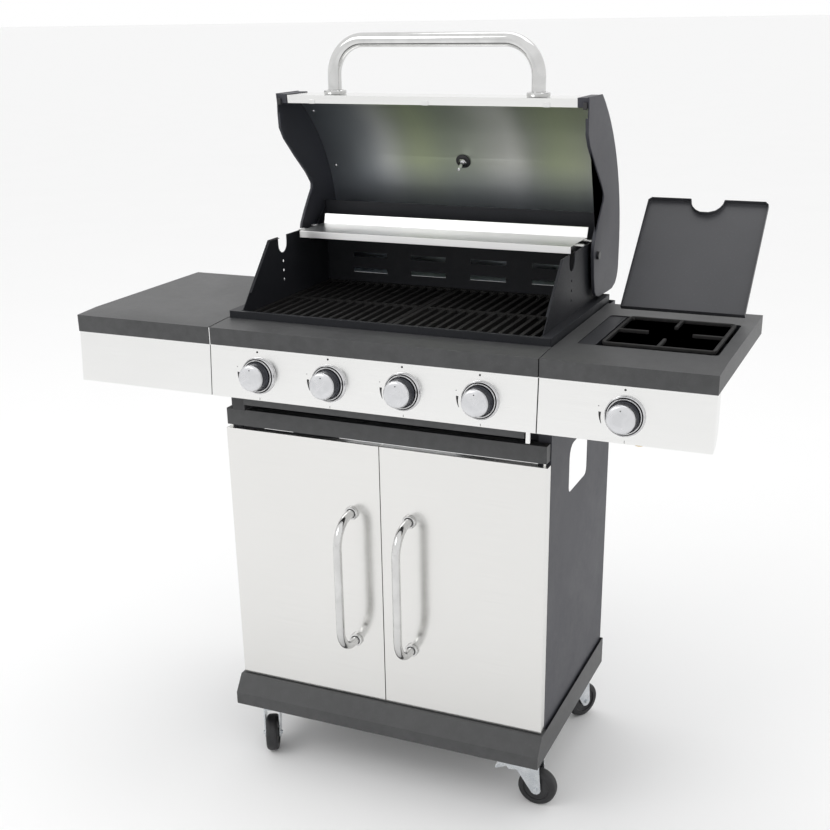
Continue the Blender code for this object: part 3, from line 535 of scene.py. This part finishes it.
def paintedReflectionLiner(name, look):  # inside of the hood: soft upright bands of painted reflection, with painted bright highlight streaks and a painted olive reflected tint, fading to a flat grey-blue lower down
    material, tree, shader, place = blank(name)
    shader.inputs["Metallic"].default_value = 1.0
    streak = useGroup(tree, brushGroup, place, Stretch=(420, 5, 5))
    parts = tree.nodes.new("ShaderNodeSeparateXYZ")
    tree.links.new(place, parts.inputs[0])
    sway = spread(tree, noise(tree, place, 6.0, 2.0), 0.3, 0.7, -0.012, 0.012)
    half = look["halfWidth"]
    across = spread(tree, mathNode(tree, "ADD", parts.outputs["X"], sway), -half, half, 0.0, 1.0)
    ramp = tree.nodes.new("ShaderNodeValToRGB")
    ramp.color_ramp.interpolation = "B_SPLINE"
    tree.links.new(across, ramp.inputs["Fac"])
    stops = ramp.color_ramp.elements
    while len(stops) > 1:
        stops.remove(stops[-1])
    stops[0].position, stops[0].color = look["bands"][0][0], (*look["bands"][0][1], 1)
    for position, colour in look["bands"][1:]:
        stops.new(position).color = (*colour, 1)
    low = spread(tree, parts.outputs["Z"], *look["fade"], 0.0, 0.8)
    tone = blendColours(tree, low, ramp.outputs["Color"], look["lower"])
    tree.links.new(tone, shader.inputs["Base Color"])
    tree.links.new(spread(tree, streak["Lines"], 0.3, 0.7, *look["rough"]), shader.inputs["Roughness"])
    bump(tree, shader, streak["Lines"], 0.012, 0.0003)
    return material


linerPaintedReflectionSteel = paintedReflectionLiner("linerPaintedReflectionSteel", linerPaintedReflectionLook)
print("finishes ready")


# sheet pieces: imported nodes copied, merged and given soft edges
sheetPieces = {
    "base_tray": ("baseTray", 0.0009, darkCoat, "dark_paint"),
    "side_panel_left": ("sidePanelLeft", 0.0008, blueCoat, "dark_paint"),
    "side_panel_right": ("sidePanelRight", 0.0008, blueCoat, "dark_paint"),
    "rear_brace": ("rearBrace", 0.0006, blueCoat, "dark_paint"),
    "front_rail": ("frontRail", 0.0008, darkCoat, "dark_paint"),
    "door_left": ("doorLeft", 0.0009, doorSteel, "stainless"),
    "door_right": ("doorRight", 0.0009, doorSteel, "stainless"),
    "control_panel": ("controlPanel", 0.0008, panelSteel, "stainless"),
    "left_shelf_front": ("shelfFrontLeft", 0.0008, panelSteel, "stainless"),
    "right_shelf_front": ("shelfFrontRight", 0.0008, panelSteel, "stainless"),
    "top_rail": ("topRail", 0.0009, darkCoat, "dark_paint"),
    "left_shelf_top": ("shelfTopLeft", 0.0009, darkCoat, "dark_paint"),
    "right_shelf_top": ("shelfTopRight", 0.0009, darkCoat, "dark_paint"),
    "side_burner_lid": ("sideBurnerLid", 0.0007, lidEnamel, "dark_paint"),
    "side_burner_pan": ("sideBurnerPan", 0.0008, fireEnamel, "fire_black"),
    "side_burner_grate": ("sideBurnerGrate", 0.0012, grateIron, "cast_iron"),
    "hood_skin": ("hoodSkin", 0.0004, hoodSteel, "hood_steel"),
    "hood_cap_left": ("hoodCapLeft", 0.0008, blueCoat, "dark_paint"),
    "hood_cap_right": ("hoodCapRight", 0.0008, blueCoat, "dark_paint"),
    "firebox": ("firebox", 0.0006, fireEnamel, "fire_black"),
    "cooking_grate_left": ("cookingGrateLeft", 0.0018, grateIron, "cast_iron"),
    "cooking_grate_right": ("cookingGrateRight", 0.0018, grateIron, "cast_iron"),
    "warming_rack": ("warmingRack", 0.0008, rackSteel, "bright_steel"),
    "grease_tray": ("greaseTray", 0.0006, traySteel, "zinc"),
    "gas_manifold": ("gasManifold", 0.0005, valveBrass, "brass"),
}
for number in (1, 2, 3, 4):
    sheetPieces["flame_tamer_%d" % number] = ("flameTamer%d" % number, 0.0004, burnerSteel, "stainless")
corners = {"front_left": "FrontLeft", "front_right": "FrontRight", "rear_left": "RearLeft",
           "rear_right": "RearRight"}
for corner, ending in corners.items():
    sheetPieces["caster_fork_" + corner] = ("casterFork" + ending, 0.0005, zincPlate, "zinc")
for corner in ("front_left", "front_right"):
    sheetPieces["brake_pedal_" + corner] = ("brakePedal" + corners[corner], 0.0008, zincPlate, "zinc")


def eased(nodeName, name, width, material):
    item = copied(nodes[nodeName])
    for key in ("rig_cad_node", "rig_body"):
        if key in item:
            del item[key]
    item.parent = None
    edit(item)
    if item.data.has_custom_normals:
        bpy.ops.mesh.customdata_custom_splitnormals_clear()
    bpy.ops.mesh.select_all(action="SELECT")
    bpy.ops.mesh.remove_doubles(threshold=0.00002)
    bpy.ops.mesh.dissolve_limited(angle_limit=math.radians(0.6))
    leaveEdit()
    soften(item, width)
    return finish(item, name, bodyOf[nodeName], material, (nodeName,))


pieces = {}
for nodeName, (name, width, material, slotName) in sheetPieces.items():
    pieces[nodeName] = eased(nodeName, name, width, material)
print("sheet pieces eased:", len(pieces))

# the inner face of the hood gets the liner finish, whose colour bands are painted reflections
innerFace = {"middle": (0.05, 1.10), "facing": 0.02, "top": 1.2835, "sideways": 0.5}
skin = pieces["hood_skin"].data
skin.materials.append(linerPaintedReflectionSteel)
for face in skin.polygons:
    inward = Vector((0, innerFace["middle"][0] - face.center.y, innerFace["middle"][1] - face.center.z))
    if (inward.dot(face.normal) > innerFace["facing"] and face.center.z < innerFace["top"]
            and abs(face.normal.x) < innerFace["sideways"]):
        face.material_index = 1

# nodes that stay as they are and only get a finish
plainNodes = {"hood_bolt_left": wheelPlastic, "hood_bolt_right": wheelPlastic,
              "side_burner_head": grateIron}
for number in (1, 2, 3, 4):
    plainNodes["burner_tube_%d" % number] = burnerSteel
for label in ("1", "2", "3", "4", "side"):
    plainNodes["valve_stem_" + label] = valveBrass
for nodeName, material in plainNodes.items():
    mesh = nodes[nodeName].data
    for slotNumber in range(len(mesh.materials)):
        mesh.materials[slotNumber] = material


# knobs
knobLook = {
    "steps": 72,
    "profile": [(0, 0.0337), (0.008, 0.0336), (0.014, 0.0333), (0.0192, 0.0326), (0.0218, 0.0316),
                (0.0234, 0.0300), (0.0239, 0.0285), (0.0239, 0.0272), (0.0233, 0.0266), (0.0233, 0.0258),
                (0.0238, 0.0252), (0.0240, 0.0240), (0.0240, 0.0140), (0.0246, 0.0124), (0.0258, 0.0116),
                (0.0262, 0.0108), (0.0262, 0.0058), (0.0254, 0.0049), (0.0046, 0.0049), (0.0046, 0.0270),
                (0, 0.0272)],
    "capAbove": 0.0262,
    "dot": (0.0, 0.0150),
    "dotProfile": [(0, 0.0337), (0.0009, 0.0337), (0.0011, 0.0335), (0.0011, 0.0328), (0, 0.0328)],
}
bezelLook = {
    "steps": 72,
    "profile": [(0.0270, 0.0003), (0.0270, 0.0080), (0.0275, 0.0090), (0.0284, 0.0091), (0.0291, 0.0084),
                (0.0295, 0.0070), (0.0297, 0.0034), (0.0306, 0.0032), (0.0308, 0.0056), (0.0314, 0.0060),
                (0.0326, 0.0052), (0.0335, 0.0036), (0.0339, 0.0020), (0.0340, 0.0003), (0.0270, 0.0003)],
    "groove": (0.02945, 0.03085, 0.0056),  # from, to and below this height
    # a near-black ring of painted shade in the gap between bezel and knob skirt
    "shadeRing": [(0.0262, 0.0002), (0.0262, 0.0016), (0.0269, 0.0016), (0.0269, 0.0002), (0.0262, 0.0002)],
}


def knob(label):
    joint = joints["knob_turn_" + label]
    place = axisPlace(joint["pos_m"], joint["axis"])
    item = turned(knobLook["profile"], knobLook["steps"])
    item.data.materials.append(knobDark)
    item.data.materials.append(knobSatin)
    for face in item.data.polygons:
        face.material_index = 1 if face.center.z > knobLook["capAbove"] else 0
    settle(item, place)
    finish(item, "knob" + label.title(), "dial_" + label, None, ("knob_" + label,))
    x, y = knobLook["dot"]
    dot = turned(knobLook["dotProfile"], 20)
    settle(dot, place @ Matrix.Translation((x, y, 0)))
    finish(dot, "knobDot" + label.title(), "dial_" + label, printInkAndShade)


def bezel(label):
    joint = joints["knob_turn_" + label]
    place = axisPlace(joint["pos_m"], joint["axis"])
    item = turned(bezelLook["profile"], bezelLook["steps"])
    item.data.materials.append(bezelChrome)
    item.data.materials.append(printInkAndShade)
    inner, outer, top = bezelLook["groove"]
    for face in item.data.polygons:
        reach = math.hypot(face.center.x, face.center.y)
        face.material_index = 1 if inner < reach < outer and face.center.z < top else 0
    settle(item, place)
    finish(item, "knobBezel" + label.title(), "root", None)
    # the near-black ring inside the bezel is painted shade for the gap around the knob
    shade = turned(bezelLook["shadeRing"], 48, place)
    finish(shade, "knobBezelShadeRing" + label.title(), "root", printInkAndShade)


markLook = {
    "off": (-0.002, 0.0425, 0.0019), "spark": (-0.0440, 0.0125, 0.0008), "tick": (0.0015, -0.0428),
    "wedge": {"radius": 0.0418, "from": 176.0, "to": 203.0, "wide": 0.0044, "thin": 0.0006, "steps": 9},
    "tickHalf": (0.0004, 0.0022), "height": 0.00025,
}


def marks(label):
    joint = joints["knob_turn_" + label]
    place = axisPlace(joint["pos_m"], joint["axis"])
    high = markLook["height"]
    made = []
    for x, y, radius in (markLook["off"], markLook["spark"]):
        dot = turned([(0, high), (radius * 0.9, high), (radius, high * 0.6), (radius, 0), (0, 0)], 24)
        settle(dot, place @ Matrix.Translation((x, y, 0)))
        made.append(dot)
    (x, y), (halfX, halfY) = markLook["tick"], markLook["tickHalf"]
    made.append(block((x - halfX, y - halfY, 0), (x + halfX, y + halfY, high), place, 0.00008, 1))
    wedge = markLook["wedge"]
    deselectAll()
    bpy.ops.mesh.primitive_grid_add(x_subdivisions=wedge["steps"], y_subdivisions=1, size=1)
    item = bpy.context.object
    edit(item)
    for step in range(wedge["steps"] + 1):  # each column is squeezed, then set on the arc
        part = step / wedge["steps"]
        angle = math.radians(wedge["from"] + (wedge["to"] - wedge["from"]) * part)
        wide = wedge["wide"] + (wedge["thin"] - wedge["wide"]) * part
        column, near = part - 0.5, 0.2 / wedge["steps"]
        pickPoints(lambda co: abs(co.z) < 0.01 and abs(co.x - column) < near)
        mesh = bmesh.from_edit_mesh(item.data)
        for vert in [v for v in mesh.verts if v.select]:
            reach = wedge["radius"] + vert.co.y * wide
            vert.co = (reach * math.cos(angle), reach * math.sin(angle), 1.0)
        bmesh.update_edit_mesh(item.data)
    bpy.ops.mesh.select_all(action="SELECT")
    bpy.ops.transform.translate(value=(0, 0, -1.0))
    bpy.ops.mesh.select_mode(type="FACE")
    bpy.ops.mesh.select_all(action="SELECT")
    bpy.ops.mesh.extrude_region_move(TRANSFORM_OT_translate={"value": (0, 0, high)})
    bpy.ops.mesh.select_all(action="SELECT")
    bpy.ops.mesh.normals_make_consistent(inside=False)
    leaveEdit()
    settle(item, place)
    made.append(item)
    finish(joined(made), "panelMarks" + label.title(), "root", printInkAndShade)


for label in ("1", "2", "3", "4", "side"):
    knob(label)
    bezel(label)
    marks(label)
print("knobs, bezels and marks ready")


# handles
doorHandleLook = {"radius": 0.0080, "bend": 0.050, "flange": 0.0130, "inset": 0.0078, "steps": 14,
                  "seal": [(0.0081, 0.0008), (0.0085, 0.0008), (0.0089, 0.0034), (0.0089, 0.0058),
                           (0.0081, 0.0062), (0.0081, 0.0008)]}


def doorHandle(hand):
    low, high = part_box("door_handle_" + hand)
    look = doorHandleLook
    x = (low.x + high.x) / 2
    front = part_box("door_" + hand)[0].y
    lowZ, highZ = low.z + look["inset"], high.z - look["inset"]
    tip = low.y + look["inset"]
    bend = look["bend"]
    run = front - tip - bend
    tube = bentTube((x, front - 0.0004, lowZ), (0, -1, 0), look["radius"], [
        ("run", (0, -run, 0)),
        ("bend", (x, front - run, lowZ + bend), (-1, 0, 0), math.pi / 2, look["steps"]),
        ("run", (0, 0, highZ - lowZ - 2 * bend)),
        ("bend", (x, front - run, highZ - bend), (-1, 0, 0), math.pi / 2, look["steps"]),
        ("run", (0, run, 0))])
    finish(tube, "doorHandle" + hand.title(), "door_" + hand, handleSteel,
           ("door_handle_" + hand,))
    r = look["flange"]
    collar = [(0.0086, 0.0004), (r - 0.0004, 0.0004), (r, 0.0010), (r, 0.0046), (r - 0.0008, 0.0058),
              (r - 0.0022, 0.0062), (0.0096, 0.0062), (0.0090, 0.0056), (0.0090, 0.0030), (0.0086, 0.0030),
              (0.0086, 0.0004)]
    for end, z in (("Low", lowZ), ("High", highZ)):
        place = axisPlace((x, front, z), (0, -1, 0))
        ring = turned(collar, 48, place)
        finish(ring, "doorHandleCollar" + hand.title() + end, "door_" + hand, handleSteel)
        seal = turned(look["seal"], 40, place)
        finish(seal, "doorHandleSeal" + hand.title() + end, "door_" + hand, wheelPlastic)


hoodHandleLook = {"radius": 0.0128, "bend": 0.062, "flange": 0.0213, "inset": 0.0215, "steps": 20}


def hoodHandle():
    low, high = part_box("hood_handle")
    look = hoodHandleLook
    y = (low.y + high.y) / 2
    footX = high.x - look["inset"]
    top = high.z - look["radius"]
    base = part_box("hood_skin")[1].z + 0.0006
    bend = look["bend"]
    tube = bentTube((-footX, y, base), (0, 0, 1), look["radius"], [
        ("run", (0, 0, top - bend - base)),
        ("bend", (-footX + bend, y, top - bend), (0, 1, 0), math.pi / 2, look["steps"]),
        ("run", (2 * (footX - bend), 0, 0)),
        ("bend", (footX - bend, y, top - bend), (0, 1, 0), math.pi / 2, look["steps"]),
        ("run", (0, 0, -(top - bend - base)))], 56)
    finish(tube, "hoodHandle", "hood", handleSteel, ("hood_handle",))
    r = look["flange"]
    foot = [(0.0132, 0.0002), (r - 0.0006, 0.0002), (r, 0.0010), (r, 0.0058), (r - 0.0010, 0.0070),
            (0.0150, 0.0080), (0.0140, 0.0076), (0.0136, 0.0060), (0.0132, 0.0060), (0.0132, 0.0002)]
    for side, sign in (("Left", -1), ("Right", 1)):
        ring = turned(foot, 64, axisPlace((sign * footX, y, base), (0, 0, 1)))
        finish(ring, "hoodHandleFoot" + side, "hood", handleSteel)


doorHandle("left")
doorHandle("right")
hoodHandle()
print("handles ready")


# edges, seams and fixings that stand on the sheet pieces, with near-black strips and a plate of painted
# shade behind gaps
fittingsLook = {
    "capLine": [(0.0335, 1.262), (0.0355, 1.235), (0.0495, 1.214), (0.0885, 1.178), (0.1285, 1.144),
                (0.1468, 1.1268), (0.1518, 1.1170), (0.1505, 1.1075), (0.1355, 1.090), (0.1185, 1.069),
                (0.1015, 1.045), (0.0965, 1.027), (0.1045, 0.975), (0.1145, 0.946), (0.1265, 0.936)],
    "capEdge": (0.2992, 0.3046), "capWall": 0.0018,
    "wingLine": [(-0.1310, 0.9515), (-0.0522, 1.0346), (-0.0150, 1.0346)],
    "wingEdge": (0.2876, 0.2924), "wingWall": 0.0012,
    "bumper": ((0.2945, 0.0290, 1.2765), (0.3015, 0.0385, 1.2885)),
    "shadow": ((-0.2530, -0.2415, 0.7690), (0.2900, -0.1720, 0.7835)),
    "endBox": ((-0.2795, -0.2380, 0.7560), (-0.2535, -0.1720, 0.7835)),
    "shadeBacking": ((-0.2950, -0.1692, 0.7260), (0.2950, -0.1680, 0.7900)),
    "endTab": ((0.2915, -0.2380, 0.7600), (0.2990, -0.2330, 0.7836)),
    "lipTabs": (-0.231, -0.001, 0.228), "tabHalf": 0.006, "tabDepth": (0.0352, 0.0366),
    "tabHeight": (1.2790, 1.2870),
    "rivets": ((0.2866, 0.1446, 1.2573, -0.63, -0.78), (0.2866, 0.2322, 1.1442, -0.92, -0.39)),
    "rivetHead": [(0, 0.0022), (0.0016, 0.0020), (0.0030, 0.0012), (0.0036, 0.0002), (0.0034, -0.0004),
                  (0, -0.0004)],
    # the seam strip is a near-black strip of painted shade behind the gap between control panel and shelf
    # front
    "seamLine": [(-0.2408, 0.8772), (-0.2480, 0.7850), (-0.2440, 0.7848)],
    "seamX": 0.3137, "seamHalf": 0.0016,
}


def fittings():
    look = fittingsLook
    for hand, sign in (("Left", -1), ("Right", 1)):
        x0, x1 = sorted((sign * look["capEdge"][0], sign * look["capEdge"][1]))
        strip = folded(look["capLine"], x0, x1, look["capWall"], 0.0006)
        finish(strip, "hoodCapEdge" + hand, "hood", blueCoat)
        x0, x1 = sorted((sign * look["wingEdge"][0], sign * look["wingEdge"][1]))
        strip = folded(look["wingLine"], x0, x1, look["wingWall"], 0.0005)
        finish(strip, "fireboxWingEdge" + hand, "root", fireEnamel)
        (x0, y0, z0), (x1, y1, z1) = look["bumper"]
        x0, x1 = sorted((sign * x0, sign * x1))
        bumper = block((x0, y0, z0), (x1, y1, z1), None, 0.0018, 3)
        finish(bumper, "hoodBumper" + hand, "hood", wheelPlastic)
        for number, (x, y, z, outY, outZ) in enumerate(look["rivets"]):
            head = turned(look["rivetHead"], 28, axisPlace((sign * x, y, z), (0, outY, outZ)))
            finish(head, "linerRivet%s%d" % (hand, number + 1), "hood", bezelChrome)
        # near-black strip of painted shade behind the seam gap
        middle, half = sign * look["seamX"], look["seamHalf"]
        seam = folded(look["seamLine"], middle - half, middle + half, 0.0006, 0.0001)
        finish(seam, "seamShadeStrip" + hand, "root", printInkAndShade)
    finish(block(*look["shadow"], None, 0.0008), "underPanelRail", "root", darkCoat)
    finish(block(*look["endBox"], None, 0.0008), "underPanelEnd", "root", wheelPlastic)
    # a near-black plate behind the gap under the control panel, painted shade for the dark inside
    finish(block(*look["shadeBacking"], None, 0.0004), "recessShadeBacking", "root", fireEnamel)
    finish(block(*look["endTab"], None, 0.0006), "panelEndTab", "root", panelSteel)
    tabs = []
    half, (y0, y1), (z0, z1) = look["tabHalf"], look["tabDepth"], look["tabHeight"]
    for x in look["lipTabs"]:
        tabs.append(block((x - half, y0, z0), (x + half, y1, z1), None, 0.0004))
    finish(joined(tabs), "hoodLipTabs", "hood", hoodSteel)


fittings()
print("edges and fixings ready")


# thermometer, set through the hood
gaugeLook = {
    "centre": (0.0, 0.23675, 1.17044), "out": (0.0, 0.87629, 0.48179),
    "body": [(0, 0.0058), (0.0236, 0.0058), (0.0240, 0.0076), (0.0250, 0.0088), (0.0264, 0.0090),
             (0.0275, 0.0082), (0.0280, 0.0066), (0.0280, 0.0014), (0.0276, 0.0006), (0.0049, 0.0006),
             (0.0049, -0.0240), (0.0034, -0.0250), (0.0032, -0.0452), (0.0024, -0.0460), (0, -0.0460)],
    "dial": [(0, 0.0062), (0.0230, 0.0062), (0.0234, 0.0060), (0.0234, 0.0056), (0, 0.0056)],
    "washer": [(0.0051, -0.0172), (0.0146, -0.0172), (0.0150, -0.0177), (0.0148, -0.0186),
               (0.0100, -0.0192), (0.0051, -0.0192), (0.0051, -0.0172)],
    "nut": [(0.0051, -0.0194), (0.0074, -0.0194), (0.0084, -0.0200), (0.0084, -0.0226), (0.0074, -0.0236),
            (0.0051, -0.0236), (0.0051, -0.0194)],
    "hub": [(0, 0.0074), (0.0016, 0.0074), (0.0020, 0.0070), (0.0020, 0.0060), (0, 0.0060)],
    "ticks": 21, "tickRadius": 0.0210, "tickHalf": 0.0003, "longTick": 0.0030, "shortTick": 0.0016,
    "sweep": 270.0, "needle": 38.0, "needleHalf": 0.0005, "needleReach": (-0.0040, 0.0160),
}


def gauge():
    look = gaugeLook
    place = axisPlace(look["centre"], look["out"])
    body = turned(look["body"], 64, place)
    finish(body, "hoodGauge", "hood", bezelChrome, ("thermometer",))
    finish(turned(look["dial"], 56, place), "hoodGaugeDial", "hood", dialPaper)
    finish(turned(look["washer"], 48, place), "hoodGaugeWasher", "hood", wheelPlastic)
    finish(turned(look["nut"], 6, place), "hoodGaugeNut", "hood", bezelChrome)
    parts = []
    for number in range(look["ticks"]):
        long = look["longTick"] if number % 5 == 0 else look["shortTick"]
        turn = math.radians(look["sweep"] * (number / (look["ticks"] - 1) - 0.5))
        spot = place @ Matrix.Rotation(turn, 4, "Z")
        half, reach = look["tickHalf"], look["tickRadius"]
        parts.append(block((-half, reach - long, 0.0060), (half, reach, 0.0064), spot, 0.00006, 1))
    spot = place @ Matrix.Rotation(math.radians(look["needle"]), 4, "Z")
    half, (tail, tip) = look["needleHalf"], look["needleReach"]
    parts.append(block((-half, tail, 0.0066), (half, tip, 0.0070), spot, 0.0001, 1))
    parts.append(turned(look["hub"], 24, place))
    finish(joined(parts), "hoodGaugeMarks", "hood", printInkAndShade)


gauge()
print("thermometer ready")


# wheels
wheelLook = {"radius": 0.038, "half": 0.012, "hub": 0.0256, "steps": 64}


def wheel(corner):
    joint = joints["wheel_roll_" + corner]
    r, h = wheelLook["radius"], wheelLook["half"]
    half = [(0.0044, h + 0.001), (0.0092, h + 0.001), (0.0100, h + 0.0004), (0.0108, h - 0.0028),
            (0.0236, h - 0.0040), (0.0250, h - 0.0030), (0.0258, h - 0.0002), (0.0300, h),
            (0.0338, h - 0.0004), (0.0362, h - 0.0022), (0.0374, h - 0.0044), (r - 0.0001, h - 0.0070),
            (r, 0.0030)]
    profile = half + [(radius, -height) for radius, height in half[::-1]] + half[:1]
    item = turned(profile, wheelLook["steps"])
    item.data.materials.append(tyreRubber)
    item.data.materials.append(wheelPlastic)
    for face in item.data.polygons:
        face.material_index = 1 if math.hypot(face.center.x, face.center.y) < wheelLook["hub"] else 0
    settle(item, axisPlace(joint["pos_m"], joint["axis"]))
    finish(item, "casterWheel" + corners[corner], "wheel_" + corner, None,
           ("caster_wheel_" + corner,))


for corner in corners:
    wheel(corner)
print("wheels ready")


# stage, light and camera
stageLook = {"floor": (0.93, 0.93, 0.93), "floorShade": (0.915, 0.915, 0.915), "size": 900.0, "sky": 1.0}


def stage():
    deselectAll()
    bpy.ops.mesh.primitive_plane_add(size=stageLook["size"])
    floor = bpy.context.object
    floor.name = "studioFloor"
    material, tree, shader, place = blank("paleFloor")
    tone = noise(tree, place, 2.0, 2)
    pale = blendColours(tree, tone, stageLook["floor"], stageLook["floorShade"])
    tree.links.new(pale, shader.inputs["Base Color"])
    shader.inputs["Roughness"].default_value = 0.8
    floor.data.materials.append(material)
    world = bpy.data.worlds.new("studio")
    bpy.context.scene.world = world
    world.use_nodes = True
    back = world.node_tree.nodes["Background"]
    back.inputs["Color"].default_value = (1.0, 1.0, 1.0, 1.0)
    back.inputs["Strength"].default_value = stageLook["sky"]


def softBox(name, place, aim, size, power):
    deselectAll()
    bpy.ops.object.light_add(type="AREA", location=place)
    lamp = bpy.context.object
    lamp.name = name
    lamp.data.shape = "RECTANGLE"
    lamp.data.size, lamp.data.size_y = size
    lamp.data.energy = power
    lamp.rotation_euler = (Vector(aim) - Vector(place)).to_track_quat("-Z", "Y").to_euler()


lampLook = {  # place, aim, size and power
    "keyLight": ((-2.2, -2.6, 3.4), (0, 0, 0.6), (2.2, 1.6), 26),
    "topLight": ((0.2, 0.8, 3.6), (0, 0, 0.8), (2.4, 1.6), 14),
}
cameraLook = {"place": (0.90915, -2.0960, 1.43663), "turn": (68.25299, 0.79812, 23.20432), "lens": 53.243,
              "shift": (-0.00831, 0.10368)}


def camera():
    deselectAll()
    bpy.ops.object.camera_add(location=cameraLook["place"],
                              rotation=[math.radians(a) for a in cameraLook["turn"]])
    item = bpy.context.object
    item.name = "mainCamera"
    item.data.sensor_width = 36
    item.data.lens = cameraLook["lens"]
    item.data.shift_x, item.data.shift_y = cameraLook["shift"]
    item.data.clip_start, item.data.clip_end = 0.05, 200
    bpy.context.scene.camera = item


stage()
for name, (place, aim, size, power) in lampLook.items():
    softBox(name, place, aim, size, power)
camera()
bpy.context.scene.view_settings.view_transform = "Standard"
print("stage, light and camera ready")
